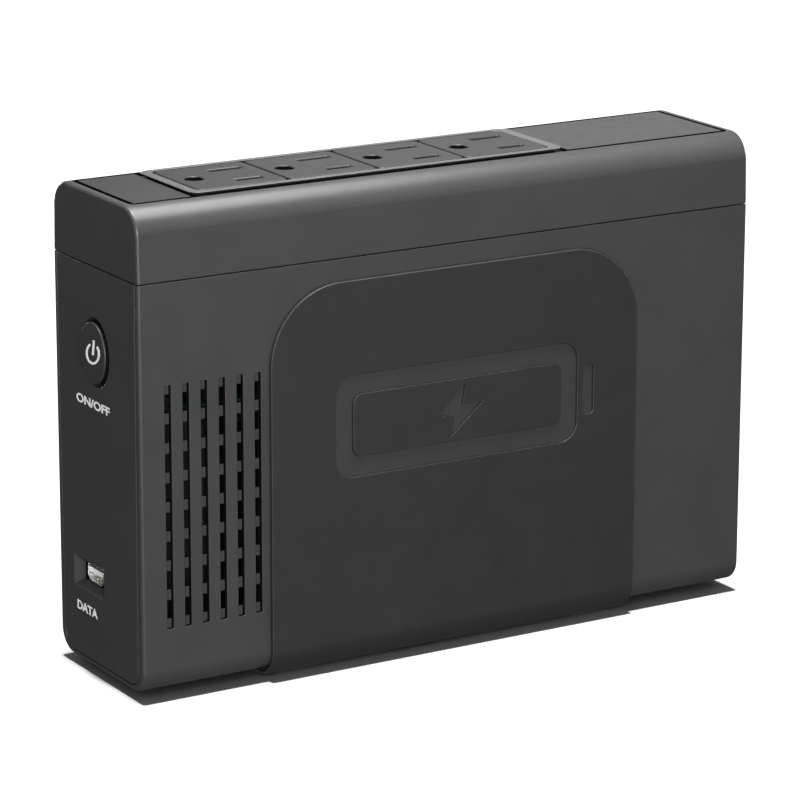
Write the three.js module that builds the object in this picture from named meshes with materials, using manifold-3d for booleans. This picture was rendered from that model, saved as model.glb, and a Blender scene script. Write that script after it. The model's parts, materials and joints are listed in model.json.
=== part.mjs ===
// A slim upright uninterruptible power supply: a tub-shaped lower housing, a cap with four
// outlets on top, a saddle panel that is also its foot, and the battery, transformer and
// circuit boards inside. Millimetres, +Z up. The origin is the bottom centre: z = 0 is the
// surface it stands on, +X runs to the cord end and -X to the end with the power button.
import * as THREE from "three";
import { mergeVertices } from "three/addons/utils/BufferGeometryUtils.js";
import Module from "manifold-3d";

const wasm = await Module();
wasm.setup();

// ---- Driving dimensions ----
const LENGTH = 180; // the case along X
const DEPTH = 45.4; // the case along Y, without the saddle panel
const TUB_HEIGHT = 104.4; // lower housing, from its own underside to the seam
const CASE_HEIGHT = 122.9; // lower housing and top cover together
const WALL = 2.4; // moulded wall of the housing, the cover and the end panels
const GAP = 0.3; // clearance between pieces that meet
const SEAM_GAP = 0.3; // the dark line between housing and cover
const CORNER_R = 1; // vertical corners of the case
const BASE_EDGE_R = 6; // long bottom edges of the lower housing
const COVER_EDGE_R = 7; // long top edges of the cover
const COVER_END_R = 0.8; // short top edges of the cover
const COVER_DRAFT = 0.35; // how far each side of the cover leans in over its height
const FOOT_PROUD = 0.5; // rubber feet below the saddle panel
const SADDLE_PROUD = 1.8; // the saddle panel outside the housing
const DOME_PROUD = 0.8; // button dome, gland and breaker nut beyond the end faces

const BASE_Z = FOOT_PROUD + SADDLE_PROUD; // underside of the lower housing
const FLOOR_Z = BASE_Z + WALL; // inside floor
const SEAM_Z = BASE_Z + TUB_HEIGHT;
const TOP_Z = BASE_Z + CASE_HEIGHT;
const HALF_L = LENGTH / 2;
const HALF_D = DEPTH / 2;
const INNER_Y = HALF_D - WALL;
const PANEL_IN_X = HALF_L - WALL; // inner face of each end panel

// Saddle panel: both wide faces carry the same outline, joined under the case
const SADDLE_HALF_W = 54.4;
const SADDLE_TOP_Z = BASE_Z + 98.9;
const SADDLE_CORNER_R = 20;
const SADDLE_RIM = { skin: 0.7, undercut: 1.2 }; // thin edge all round, with a dark line behind it

const SIGN = { halfL: 36, halfH: 13.2, line: 5, nub: 3.4, r: 5, z: BASE_Z + 61.4, depth: 0.8 };
const BOLT = [[2, 1], [-7, -0.18], [-1.2, -0.18], [-2, -1], [7, 0.18], [1.2, 0.18]];

// Ventilation grille: upright slots outside, level slots inside
const VENT = { columns: 6, pitch: 5, width: 1.8, firstX: -82.2, low: 16.4, high: 78.6 };
const VENT_RIB = { rows: 8, pitch: 7.49, height: 4.8, middle: 47.4, skin: 1.3 };

// Top plate and outlet strip
const GROOVE = 0.6; // the dark line round each outlet
const PLATE = { halfL: 87.1, halfW: 15.3, thick: 2, r: 0.6, groove: 1 };
const DECK_Z = TOP_Z - PLATE.thick - GAP; // floor of the pocket that the plate lies in
const DECK_THICK = 2;
const STRIP = { x0: -70.5, x1: 37.7, halfW: 14.8, r: 3, rise: 0.6 };
const FLANGE = { under: 0.2, undercut: 0.9 }; // from just below the plate's face, its edge flares
const CHANNEL = { depth: 0.9, margin: 0.6 }; // step in the plate that the bezel's edge hangs over
const OUTLET = { count: 4, pitch: 25.6, firstX: -54.8, sizeY: 24.6, r: 1.6, depth: 13 };
OUTLET.sizeX = OUTLET.pitch - GROOVE;
const BLADE = { spacing: 12.7, x: 4.6, neutral: 9, line: 7.3, width: 2.2 };
const GROUND_PIN = { x: -7.3, r: 2.6, flat: 2.1 };
const BLOCKS = {
  x: [
    OUTLET.firstX - OUTLET.sizeX / 2,
    OUTLET.firstX + (OUTLET.count - 1) * OUTLET.pitch + OUTLET.sizeX / 2,
  ],
  halfW: OUTLET.sizeY / 2,
  low: TOP_Z + STRIP.rise - OUTLET.depth,
};
const NECK_INSET = 1.4; // the bezel's neck inside the edge of its flange
const NECK = {
  x0: STRIP.x0 + NECK_INSET,
  x1: STRIP.x1 - NECK_INSET,
  halfW: STRIP.halfW - NECK_INSET,
  r: 2.4,
};

// Battery: a sealed 12 V block, 97 x 43 x 52 mm
const BATTERY = { halfL: 48.5, halfW: 21.2, low: FLOOR_Z + 1.4, seam: 51, top: 58.4, step: 1 };
const BATTERY_WINDOW = { halfL: 49.5, high: 60 };

// Transformer: a stack of E-shaped sheets round one winding
const CORE = {
  x: 68,
  z: 30.3,
  halfStack: 11,
  halfY: 19.6,
  halfZ: 22,
  leg: 7.4,
  windowZ: 15,
  windowY: 11.5,
};

const BOARD_Z = 72; // underside of the main board
const BOARD_THICK = 1.6;
const BOARD_TOP = BOARD_Z + BOARD_THICK;
const BOARD = { x0: -75, x1: 79, halfW: 18.4 };
const LEDGE = { x: [-50, 62], inY: 15.6, halfX: 3, deep: 6 }; // supports on the housing walls
const SINK = { x: -63, halfX: 10.5, inY: 3, outY: 17, fins: 6, thick: 1.2, height: 27 };
const FRONT_BOARD_X = -79; // the face of the front board that carries switch and port

// Power button, data port, cord gland and breaker, each at (y, z) on an end face
const BUTTON = { y: 0.8, z: BASE_Z + 82.6, r: 7.8, holeR: 8.8, flangeR: 9.8, oval: 0.87 };
const PORT = {
  y: 6.2,
  z: BASE_Z + 23.2,
  w: 8.6,
  h: 4.1,
  wall: 0.4,
  recessW: 16.6,
  recessH: 8.2,
  bevel: 1.7,
};
const GLAND = { y: 0, z: BASE_Z + 60, holeR: 4.2, neckR: 6.2, flangeR: 9, barb: 0.9 };
const BREAKER = { y: 0, z: BASE_Z + 88, bushR: 5, nutR: 8, plungerR: 3.2 };

// Screws that close the case
const COVER_SCREW = {
  x: 84,
  y: 12.4,
  shaftR: 1.5,
  headR: 2.8,
  headH: 1.8,
  bossR: 3.2,
  bossDepth: 16,
  columnR: 4,
  seatZ: DECK_Z - 2.6,
};
const SADDLE_SCREW = { x: 26, shaftR: 1.5, headR: 2.7, padR: 3.2 };
const CORE_SCREW = { x: [54, 82], shaftR: 1.4, headR: 2.8, headH: 1.6, length: 4.4, boreR: 1.8 };
const BOARD_SCREW = { shaftR: 1.2, headR: 2.2, headH: 1.4, length: 5.2, boreR: 1.5 };
const PAD = { r: 3.6, height: 2 }; // stands under the transformer's foot plate
const LIP = { halfL: 76, thick: 1.1, down: 3, up: 2 }; // locates the cover inside the housing
const FOOT = { x: 44, sizeX: 13, sizeY: 34, r: 3, thick: 0.8 };

// ---- Solids ----
function solid(geometry) {
  const g = geometry.index ? geometry.toNonIndexed() : geometry.clone();
  g.deleteAttribute("normal");
  g.deleteAttribute("uv");
  const merged = mergeVertices(g, 1e-4);
  return new wasm.Manifold(
    new wasm.Mesh({
      numProp: 3,
      vertProperties: new Float32Array(merged.attributes.position.array),
      triVerts: new Uint32Array(merged.index.array),
    }),
  );
}

function geometryOf(body) {
  const mesh = body.getMesh();
  const geometry = new THREE.BufferGeometry();
  const positions = new Float32Array(mesh.vertProperties);
  geometry.setAttribute("position", new THREE.BufferAttribute(positions, 3));
  geometry.setIndex(new THREE.BufferAttribute(new Uint32Array(mesh.triVerts), 1));
  const flat = geometry.toNonIndexed();
  flat.computeVertexNormals();
  return flat;
}

const join = (...bodies) => bodies.reduce((a, b) => a.add(b));
const cut = (body, ...tools) => tools.reduce((a, b) => a.subtract(b), body);
const common = (...bodies) => bodies.reduce((a, b) => a.intersect(b));

function box(x0, x1, y0, y1, z0, z1) {
  const g = new THREE.BoxGeometry(x1 - x0, y1 - y0, z1 - z0);
  g.translate((x0 + x1) / 2, (y0 + y1) / 2, (z0 + z1) / 2);
  return solid(g);
}

function boxAt(cx, cy, cz, sx, sy, sz) {
  return box(cx - sx / 2, cx + sx / 2, cy - sy / 2, cy + sy / 2, cz - sz / 2, cz + sz / 2);
}

const AXES = {
  x: new THREE.Matrix4().makeBasis(
    new THREE.Vector3(0, 1, 0),
    new THREE.Vector3(0, 0, 1),
    new THREE.Vector3(1, 0, 0),
  ),
  y: new THREE.Matrix4().makeBasis(
    new THREE.Vector3(1, 0, 0),
    new THREE.Vector3(0, 0, 1),
    new THREE.Vector3(0, -1, 0),
  ),
  z: new THREE.Matrix4(),
};

// A shape pushed from one coordinate to another along an axis. Along x it is drawn in (y, z),
// along y in (x, z) and along z in (x, y).
function extrude(shape, axis, from, to, segments = 4) {
  const options = { depth: to - from, bevelEnabled: false, curveSegments: segments };
  const g = new THREE.ExtrudeGeometry(shape, options);
  g.applyMatrix4(AXES[axis]);
  if (axis === "x") g.translate(from, 0, 0);
  if (axis === "y") g.translate(0, to, 0);
  if (axis === "z") g.translate(0, 0, from);
  return solid(g);
}

// A rectangle with one radius at its low corners and another at its high corners
function roundRect(x0, x1, y0, y1, rLow, rHigh = rLow) {
  const s = new THREE.Shape();
  s.moveTo(x0 + rLow, y0);
  s.lineTo(x1 - rLow, y0);
  if (rLow > 0) s.absarc(x1 - rLow, y0 + rLow, rLow, -Math.PI / 2, 0);
  s.lineTo(x1, y1 - rHigh);
  if (rHigh > 0) s.absarc(x1 - rHigh, y1 - rHigh, rHigh, 0, Math.PI / 2);
  s.lineTo(x0 + rHigh, y1);
  if (rHigh > 0) s.absarc(x0 + rHigh, y1 - rHigh, rHigh, Math.PI / 2, Math.PI);
  s.lineTo(x0, y0 + rLow);
  if (rLow > 0) s.absarc(x0 + rLow, y0 + rLow, rLow, Math.PI, 1.5 * Math.PI);
  return s;
}

// A solid of revolution: its profile lists (radius, height) points up the axis. `oval` below 1
// makes it narrower across Y.
function turned(profile, axis, centre, segments = 20, oval = 1) {
  const points = profile.map(([r, h]) => new THREE.Vector2(r, h));
  const g = new THREE.LatheGeometry(points, segments);
  g.rotateX(Math.PI / 2); // the lathe turns about Y, so stand it on Z
  g.applyMatrix4(AXES[axis]);
  g.scale(1, oval, 1);
  g.translate(...centre);
  return solid(g);
}

function rod(axis, centre, r, from, to, segments = 20) {
  const at = [...centre];
  at["xyz".indexOf(axis)] = 0;
  return turned([[0, from], [r, from], [r, to], [0, to]], axis, at, segments);
}

// A flat-topped plate whose edge leans inwards by `lean` from its top face to its underside
function undercutPlate(shape, z0, z1, lean) {
  const height = z1 - z0;
  const g = new THREE.ExtrudeGeometry(shape, {
    depth: height,
    bevelEnabled: true,
    bevelThickness: height,
    bevelSize: lean,
    bevelOffset: -lean,
    bevelSegments: 1,
    curveSegments: 4,
  });
  g.translate(0, 0, z1);
  return common(solid(g), box(-LENGTH, LENGTH, -DEPTH, DEPTH, z0, z1));
}

// A wire of round section along a smooth curve through the given points
function wire(points, radius, steps = 14) {
  const path = new THREE.CatmullRomCurve3(points.map((p) => new THREE.Vector3(...p)));
  const section = new THREE.Shape();
  section.absarc(0, 0, radius, 0, 2 * Math.PI);
  const options = { extrudePath: path, steps, curveSegments: 4 };
  return solid(new THREE.ExtrudeGeometry(section, options));
}

// ---- Materials ----
const finish = (color, roughness = 0.55, metalness = 0) =>
  new THREE.MeshStandardMaterial({ color, roughness, metalness });

const LOOK = {
  case: () => finish(0x3c3c3d, 0.5),
  saddle: () => finish(0x343435, 0.55),
  outlet: () => finish(0x3f3f40, 0.45),
  rubber: () => finish(0x161616, 0.85),
  steel: () => finish(0xb9bcc0, 0.35, 0.9),
  brass: () => finish(0xc8a552, 0.35, 0.9),
  board: () => finish(0x1f5a38, 0.5),
  copper: () => finish(0xa4582e, 0.4, 0.6),
  core: () => finish(0x55575c, 0.5, 0.7),
  aluminium: () => finish(0x232325, 0.5, 0.6), // black anodised
  battery: () => finish(0x2b2d31, 0.6),
  white: () => finish(0xd9d9d4, 0.5),
  red: () => finish(0xa01f1c, 0.5),
  black: () => finish(0x191919, 0.5),
  blue: () => finish(0x24436f, 0.4),
};

const ups = new THREE.Group();
ups.name = "uninterruptible_power_supply";

function add(name, body, look) {
  const mesh = new THREE.Mesh(geometryOf(body), LOOK[look]());
  mesh.name = name;
  ups.add(mesh);
}

// ---- Case ----
// The end opening of the housing and the panel in it, grown by `grow` on every side
function endOutline(grow) {
  const low = BASE_Z + 1.5 - grow;
  const halfLow = 19.9 + grow;
  const halfHigh = 20.9 + grow;
  const r = 4.3 + grow;
  const top = SEAM_Z + SEAM_GAP * 2;
  const s = new THREE.Shape();
  s.moveTo(-halfLow + r, low);
  s.lineTo(halfLow - r, low);
  s.absarc(halfLow - r, low + r, r, -Math.PI / 2, 0);
  s.lineTo(halfHigh, top);
  s.lineTo(-halfHigh, top);
  s.lineTo(-halfLow, low + r);
  s.absarc(-halfLow + r, low + r, r, Math.PI, 1.5 * Math.PI);
  return s;
}

// Where the main board's screws stand, one over each ledge
function boardScrewSpots() {
  return LEDGE.x.flatMap((x) => [-1, 1].map((sy) => [x, sy * (LEDGE.inY + 1.4)]));
}

function casePlan() {
  return extrude(roundRect(-HALF_L, HALF_L, -HALF_D, HALF_D, CORNER_R), "z", 0, TOP_Z, 3);
}

// Upright slots through the outer skin that cross level slots through the inner half
function grille(side) {
  const skinY = side * (HALF_D - VENT_RIB.skin);
  const outY = side * (HALF_D + 1);
  const inY = side * (INNER_Y - 1);
  const tools = [];
  for (let i = 0; i < VENT.columns; i++) {
    const x = VENT.firstX + i * VENT.pitch;
    const half = VENT.width / 2;
    const [y0, y1] = [skinY, outY].sort((a, b) => a - b);
    tools.push(box(x - half, x + half, y0, y1, BASE_Z + VENT.low, BASE_Z + VENT.high));
  }
  const x0 = VENT.firstX - VENT.width / 2;
  const x1 = VENT.firstX + (VENT.columns - 1) * VENT.pitch + VENT.width / 2;
  for (let i = 0; i < VENT_RIB.rows; i++) {
    const z = BASE_Z + VENT_RIB.middle + (i - (VENT_RIB.rows - 1) / 2) * VENT_RIB.pitch;
    const [y0, y1] = [inY, skinY + side * 0.05].sort((a, b) => a - b);
    tools.push(box(x0, x1, y0, y1, z - VENT_RIB.height / 2, z + VENT_RIB.height / 2));
  }
  return tools;
}

const SIDES = [-1, 1];
const CORNERS = SIDES.flatMap((sx) => SIDES.map((sy) => [sx, sy]));
const span = (a, b) => [Math.min(a, b), Math.max(a, b)];

function lowerHousing() {
  const top = SEAM_Z - SEAM_GAP / 2;
  const section = roundRect(-HALF_D, HALF_D, BASE_Z, top, BASE_EDGE_R, 0);
  const hollow = roundRect(-INNER_Y, INNER_Y, FLOOR_Z, TOP_Z, BASE_EDGE_R - WALL, 0);
  const window = BATTERY_WINDOW.halfL;
  let tub = cut(
    common(extrude(section, "x", -HALF_L, HALF_L, 6), casePlan()),
    extrude(hollow, "x", -HALF_L - 1, HALF_L + 1),
    extrude(endOutline(GAP), "x", -HALF_L - 1, -PANEL_IN_X + GAP),
    extrude(endOutline(GAP), "x", PANEL_IN_X - GAP, HALF_L + 1),
    // Windows in both wide walls let the battery bulge into the saddle panel
    box(-window, window, -HALF_D - 1, HALF_D + 1, FLOOR_Z, BATTERY_WINDOW.high),
    ...grille(-1),
    ...grille(1),
  );
  // Bosses for the cover screws, each on a web from the wall
  const { x: bossX, y: bossY, bossR, shaftR, bossDepth } = COVER_SCREW;
  for (const [sx, sy] of CORNERS) {
    const [y0, y1] = span(sy * bossY, sy * (INNER_Y + 0.5));
    const boss = rod("z", [sx * bossX, sy * bossY, 0], bossR, top - bossDepth, top, 12);
    const web = box(sx * bossX - 1, sx * bossX + 1, y0, y1, top - bossDepth, top - 4);
    const at = [sx * bossX, sy * bossY, 0];
    const bore = rod("z", at, shaftR + GAP, top - bossDepth + 2, top + 1, 12);
    tub = cut(join(tub, boss, web), bore);
  }
  // Ledges under the main board
  for (const x of LEDGE.x) {
    for (const sy of SIDES) {
      const [y0, y1] = span(sy * LEDGE.inY, sy * (INNER_Y + 0.5));
      const ledgeLow = BOARD_Z - LEDGE.deep;
      tub = join(tub, box(x - LEDGE.halfX, x + LEDGE.halfX, y0, y1, ledgeLow, BOARD_Z - GAP));
    }
  }
  const screwBores = boardScrewSpots().map(([x, y]) => {
    return rod("z", [x, y, 0], BOARD_SCREW.boreR, BOARD_Z - 5, TOP_Z, 12);
  });
  tub = cut(tub, ...screwBores);
  // Pads on the floor for the transformer's foot plate and the saddle panel's screws
  for (const x of CORE_SCREW.x) {
    const pad = rod("z", [x, 0, 0], PAD.r, FLOOR_Z - 0.5, FLOOR_Z + PAD.height, 12);
    tub = cut(join(tub, pad), rod("z", [x, 0, 0], CORE_SCREW.boreR, BASE_Z + 1, TOP_Z, 12));
  }
  for (const sx of SIDES) {
    const x = sx * SADDLE_SCREW.x;
    const pad = rod("z", [x, 0, 0], SADDLE_SCREW.padR, FLOOR_Z - 0.5, FLOOR_Z + 1, 12);
    tub = cut(join(tub, pad), rod("z", [x, 0, 0], SADDLE_SCREW.shaftR + GAP, 0, TOP_Z, 12));
  }
  return tub;
}

// One section of the cover: leaning sides and rounded top corners, `inset` inside the outside
function coverSection(half, r, top, inset = 0) {
  const low = SEAM_Z + SEAM_GAP / 2 - inset;
  const halfLow = half - inset;
  const halfHigh = half - COVER_DRAFT - inset;
  const s = new THREE.Shape();
  s.moveTo(-halfLow, low);
  s.lineTo(halfLow, low);
  s.lineTo(halfHigh, top - r);
  s.absarc(halfHigh - r, top - r, r, 0, Math.PI / 2);
  s.absarc(-halfHigh + r, top - r, r, Math.PI / 2, Math.PI);
  return s;
}

// The opening that the four outlets stand in, through the bezel and the deck. Its groove is
// narrower at the +X end.
function outletWell() {
  const [x0, x1] = BLOCKS.x;
  const halfW = BLOCKS.halfW + GROOVE;
  return roundRect(x0 - GROOVE, x1 + GAP, -halfW, halfW, OUTLET.r + GROOVE);
}

function topCover() {
  const inset = WALL - 0.2;
  const endX = HALF_L - inset;
  const outside = common(
    extrude(coverSection(HALF_D, COVER_EDGE_R, TOP_Z), "x", -HALF_L, HALF_L, 6),
    extrude(coverSection(HALF_L, COVER_END_R, TOP_Z), "y", -HALF_D, HALF_D, 3),
    casePlan(),
  );
  const [pocketL, pocketW] = [PLATE.halfL + PLATE.groove, PLATE.halfW + PLATE.groove];
  const pocket = roundRect(-pocketL, pocketL, -pocketW, pocketW, PLATE.r + PLATE.groove);
  const underDeck = DECK_Z - DECK_THICK;
  let cover = cut(
    outside,
    extrude(coverSection(HALF_D, COVER_EDGE_R - inset, underDeck, inset), "x", -endX, endX),
    extrude(pocket, "z", DECK_Z, TOP_Z + 1),
    extrude(outletWell(), "z", 0, TOP_Z + 1),
  );
  // Screw columns, counterbored from the deck
  const { x, y, columnR, shaftR, headR, seatZ } = COVER_SCREW;
  for (const [sx, sy] of CORNERS) {
    const at = [sx * x, sy * y, 0];
    const column = rod("z", at, columnR, SEAM_Z + SEAM_GAP / 2, underDeck + 0.5, 12);
    const bore = rod("z", at, shaftR + GAP, SEAM_Z - 1, TOP_Z, 12);
    const seat = rod("z", at, headR + GAP, seatZ, TOP_Z, 12);
    cover = cut(join(cover, column), bore, seat);
  }
  // Lips that locate the cover inside the housing's long walls
  const lipY = INNER_Y - GAP;
  const high = SEAM_Z + LIP.up;
  for (const sy of SIDES) {
    const [y0, y1] = span(sy * (lipY - LIP.thick), sy * lipY);
    const [s0, s1] = span(sy * (lipY - LIP.thick), sy * (INNER_Y + 0.6));
    const lip = box(-LIP.halfL, LIP.halfL, y0, y1, SEAM_Z - LIP.down, high);
    const shelf = box(-LIP.halfL, LIP.halfL, s0, s1, SEAM_Z + SEAM_GAP / 2, high);
    cover = join(cover, lip, shelf);
  }
  return cover;
}

function frontPanel() {
  const { y, z, holeR, oval } = BUTTON;
  const [outX, inX] = [-HALF_L - 1, -PANEL_IN_X + 1];
  const hole = [[0, outX], [holeR, outX], [holeR, inX], [0, inX]];
  return cut(
    common(
      extrude(endOutline(0), "x", -HALF_L, -PANEL_IN_X, 5),
      box(-HALF_L, HALF_L, -HALF_D, HALF_D, 0, SEAM_Z - SEAM_GAP / 2),
    ),
    turned(hole, "x", [0, y, z], 24, oval),
    portRecess(),
  );
}

// A bevelled rectangular hole, wide at the outer face of the front panel
function portRecess() {
  const { y, z, recessW, recessH, bevel } = PORT;
  const depth = 1 + bevel;
  const inner = [recessW - 2 * bevel, recessH - 2 * bevel];
  const g = new THREE.BoxGeometry(depth, recessW + 2, recessH + 2);
  const p = g.attributes.position;
  for (let i = 0; i < p.count; i++) {
    const [px, py, pz] = [p.getX(i), p.getY(i), p.getZ(i)];
    if (px > 0) p.setXYZ(i, px, (Math.sign(py) * inner[0]) / 2, (Math.sign(pz) * inner[1]) / 2);
  }
  g.translate(-HALF_L + bevel - depth / 2, y, z);
  return join(solid(g), boxAt(-HALF_L + 2, y, z, 3, inner[0], inner[1]));
}

function rearPanel() {
  const at = (part) => [0, part.y, part.z];
  return cut(
    common(
      extrude(endOutline(0), "x", PANEL_IN_X, HALF_L, 5),
      box(-HALF_L, HALF_L, -HALF_D, HALF_D, 0, SEAM_Z - SEAM_GAP / 2),
    ),
    rod("x", at(GLAND), GLAND.flangeR + GAP, HALF_L - 1, HALF_L + 1),
    rod("x", at(GLAND), GLAND.neckR + GAP, PANEL_IN_X - 1, HALF_L),
    rod("x", at(BREAKER), BREAKER.nutR + GAP, HALF_L - 1.4, HALF_L + 1),
    rod("x", at(BREAKER), BREAKER.bushR + GAP, PANEL_IN_X - 1, HALF_L),
  );
}

// A battery with a charging bolt, sunk into the wide face of the saddle panel
function batterySign(y0, y1) {
  const { halfL, halfH, line, nub, r, z } = SIGN;
  const outer = roundRect(-halfL, halfL, z - halfH, z + halfH, r);
  outer.holes.push(
    roundRect(-halfL + line, halfL - line, z - halfH + line, z + halfH - line, r - line / 2),
  );
  const cap = roundRect(halfL + 1.6, halfL + 1.6 + nub, z - halfH / 2, z + halfH / 2, 1);
  const reach = halfH - line - 1.6;
  const corners = BOLT.map(([dx, dz]) => new THREE.Vector2(dx, z + dz * reach));
  return [outer, cap, new THREE.Shape(corners)].map((shape) => extrude(shape, "y", y0, y1, 4));
}

// The panel's section between two distances from the case, cut to its outline on the wide faces
function saddleLayer(inside, outside, inset) {
  const w = SADDLE_HALF_W - inset;
  const top = SADDLE_TOP_Z - inset;
  const layer = (out, length) => {
    const half = HALF_D + out;
    const section = roundRect(-half, half, BASE_Z - out, TOP_Z + length, BASE_EDGE_R + out, 0);
    return extrude(section, "x", -w - length, w + length, 6);
  };
  const face = roundRect(-w, w, 0, top, 0, SADDLE_CORNER_R - inset);
  return common(cut(layer(outside, 0), layer(inside, 1)), extrude(face, "y", -DEPTH, DEPTH, 8));
}

function saddlePanel() {
  const { x, headR, shaftR } = SADDLE_SCREW;
  const skin = SADDLE_PROUD - SADDLE_RIM.skin;
  const shell = join(
    saddleLayer(skin, SADDLE_PROUD, 0),
    saddleLayer(GAP, skin, SADDLE_RIM.undercut),
  );
  const feet = SIDES.map((sx) => footSolid(sx, GAP, FOOT.thick + GAP));
  const boreR = shaftR + GAP;
  const screwHole = [
    [0, 0],
    [headR + GAP + 0.5, 0],
    [boreR, BASE_Z - GAP],
    [boreR, BASE_Z + 1],
    [0, BASE_Z + 1],
  ];
  const screwHoles = SIDES.map((sx) => turned(screwHole, "z", [sx * x, 0, 0], 20));
  const front = -HALF_D - SADDLE_PROUD;
  return cut(shell, ...feet, ...screwHoles, ...batterySign(front - 1, front + SIGN.depth));
}

function footSolid(sx, grow, height) {
  const { x, sizeX, sizeY, r } = FOOT;
  const [hx, hy] = [sizeX / 2 + grow, sizeY / 2 + grow];
  return extrude(roundRect(sx * x - hx, sx * x + hx, -hy, hy, r + grow), "z", 0, height, 3);
}

add("lower_housing", lowerHousing(), "case");
add("top_cover", topCover(), "case");
add("front_panel", frontPanel(), "case");
add("rear_panel", rearPanel(), "case");
add("saddle_panel", saddlePanel(), "saddle");
add("foot_front", footSolid(-1, 0, FOOT.thick), "rubber");
add("foot_rear", footSolid(1, 0, FOOT.thick), "rubber");

// ---- Screws ----
function panScrew(x, y, seat, { shaftR, headR, headH }, length) {
  const profile = [
    [0, seat - length],
    [shaftR, seat - length],
    [shaftR, seat],
    [headR, seat],
    [headR, seat + headH],
    [0, seat + headH],
  ];
  return turned(profile, "z", [x, y, 0], 10);
}

CORNERS.forEach(([sx, sy], i) => {
  const { x, y, seatZ } = COVER_SCREW;
  const screw = panScrew(sx * x, sy * y, seatZ + GAP, COVER_SCREW, seatZ - SEAM_Z + 11);
  add("cover_screw_" + (i + 1), screw, "steel");
});

SIDES.forEach((sx, i) => {
  const { x, shaftR, headR } = SADDLE_SCREW;
  const profile = [
    [0, FOOT_PROUD],
    [headR, FOOT_PROUD],
    [shaftR, BASE_Z - GAP],
    [shaftR, FLOOR_Z + 0.6],
    [0, FLOOR_Z + 0.6],
  ];
  add("saddle_screw_" + (i + 1), turned(profile, "z", [sx * x, 0, 0], 12), "steel");
});

// ---- Top plate and outlets ----
function neckOutline(grow) {
  const { x0, x1, halfW, r } = NECK;
  return roundRect(x0 - grow, x1 + grow, -halfW - grow, halfW + grow, r + grow);
}

function topPlate() {
  const { halfL, halfW, thick, r } = PLATE;
  const { depth, margin } = CHANNEL;
  const outline = roundRect(-halfL, halfL, -halfW, halfW, r);
  const channelLow = TOP_Z - depth;
  return cut(
    extrude(outline, "z", TOP_Z - thick, TOP_Z, 4),
    box(STRIP.x0 - margin, STRIP.x1 + margin, -DEPTH, DEPTH, channelLow, TOP_Z + 1),
    extrude(neckOutline(GAP), "z", DECK_Z, TOP_Z, 4),
  );
}

// A flange with an undercut edge, on a neck through the plate
function outletBezel() {
  const { x0, x1, halfW, r, rise } = STRIP;
  const { under, undercut } = FLANGE;
  const outline = roundRect(x0, x1, -halfW, halfW, r);
  const flange = undercutPlate(outline, TOP_Z - under, TOP_Z + rise, undercut);
  const neck = extrude(neckOutline(0), "z", DECK_Z + GAP, TOP_Z + rise);
  return cut(join(flange, neck), extrude(outletWell(), "z", DECK_Z - 1, TOP_Z + 2));
}

function receptacle(cx) {
  const { sizeX, sizeY, r, depth } = OUTLET;
  const top = TOP_Z + STRIP.rise;
  const low = top - depth;
  const chamberTop = top - 3;
  const face = roundRect(cx - sizeX / 2, cx + sizeX / 2, -sizeY / 2, sizeY / 2, r);
  const slots = [];
  for (const [sy, length] of [[1, BLADE.neutral], [-1, BLADE.line]]) {
    const y = (sy * BLADE.spacing) / 2;
    const x = cx + BLADE.x;
    const [halfX, halfY] = [BLADE.neutral / 2 + 0.4, BLADE.width];
    slots.push(boxAt(x, y, top, length, BLADE.width, 2 * depth));
    slots.push(box(x - halfX, x + halfX, y - halfY, y + halfY, low - 2, chamberTop));
  }
  const pinX = cx + GROUND_PIN.x;
  const { r: pinR, flat } = GROUND_PIN;
  const pin = common(
    rod("z", [pinX, 0, 0], pinR, low - 1, top + 1, 20),
    box(pinX - pinR, pinX + flat, -pinR, pinR, low - 1, top + 1),
  );
  const pinChamber = rod("z", [pinX, 0, 0], 3.6, low - 1, chamberTop, 20);
  return cut(extrude(face, "z", low, top, 3), ...slots, pin, pinChamber);
}

// A brass bar under all the outlets, with two spring leaves rising into each of them
function contactBar(y, leafX, leafLength, leafY, low) {
  const first = OUTLET.firstX;
  const last = first + (OUTLET.count - 1) * OUTLET.pitch;
  let bar = box(first + leafX - 4, last + leafX + 4, y - 2, y + 2, low, low + 0.8);
  for (let i = 0; i < OUTLET.count; i++) {
    const x = first + i * OUTLET.pitch + leafX;
    for (const side of SIDES) {
      bar = join(bar, boxAt(x, y + side * leafY, low + 5, leafLength, 0.6, 10));
    }
  }
  return bar;
}

function contactTray() {
  const [x0, x1] = [BLOCKS.x[0] - 2, BLOCKS.x[1] + 2];
  const halfW = BLOCKS.halfW + 2;
  const low = BLOCKS.low - 4.5;
  return cut(
    box(x0, x1, -halfW, halfW, low, DECK_Z - DECK_THICK - GAP),
    box(x0 + 1.5, x1 - 1.5, -halfW + 1.5, halfW - 1.5, low + 2, TOP_Z),
  );
}

add("top_plate", topPlate(), "case");
add("outlet_bezel", outletBezel(), "outlet");
for (let i = 0; i < OUTLET.count; i++) {
  add("receptacle_" + (i + 1), receptacle(OUTLET.firstX + i * OUTLET.pitch), "outlet");
}
add("contact_tray", contactTray(), "black");
add("neutral_bar", contactBar(BLADE.spacing / 2, BLADE.x, 6, 1.6, BLOCKS.low - 2.2), "brass");
add("line_bar", contactBar(-BLADE.spacing / 2, BLADE.x, 6, 1.6, BLOCKS.low - 2.2), "brass");
add("ground_bar", contactBar(0, GROUND_PIN.x, 3, 1.7, BLOCKS.low - 2.2), "brass");

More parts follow.
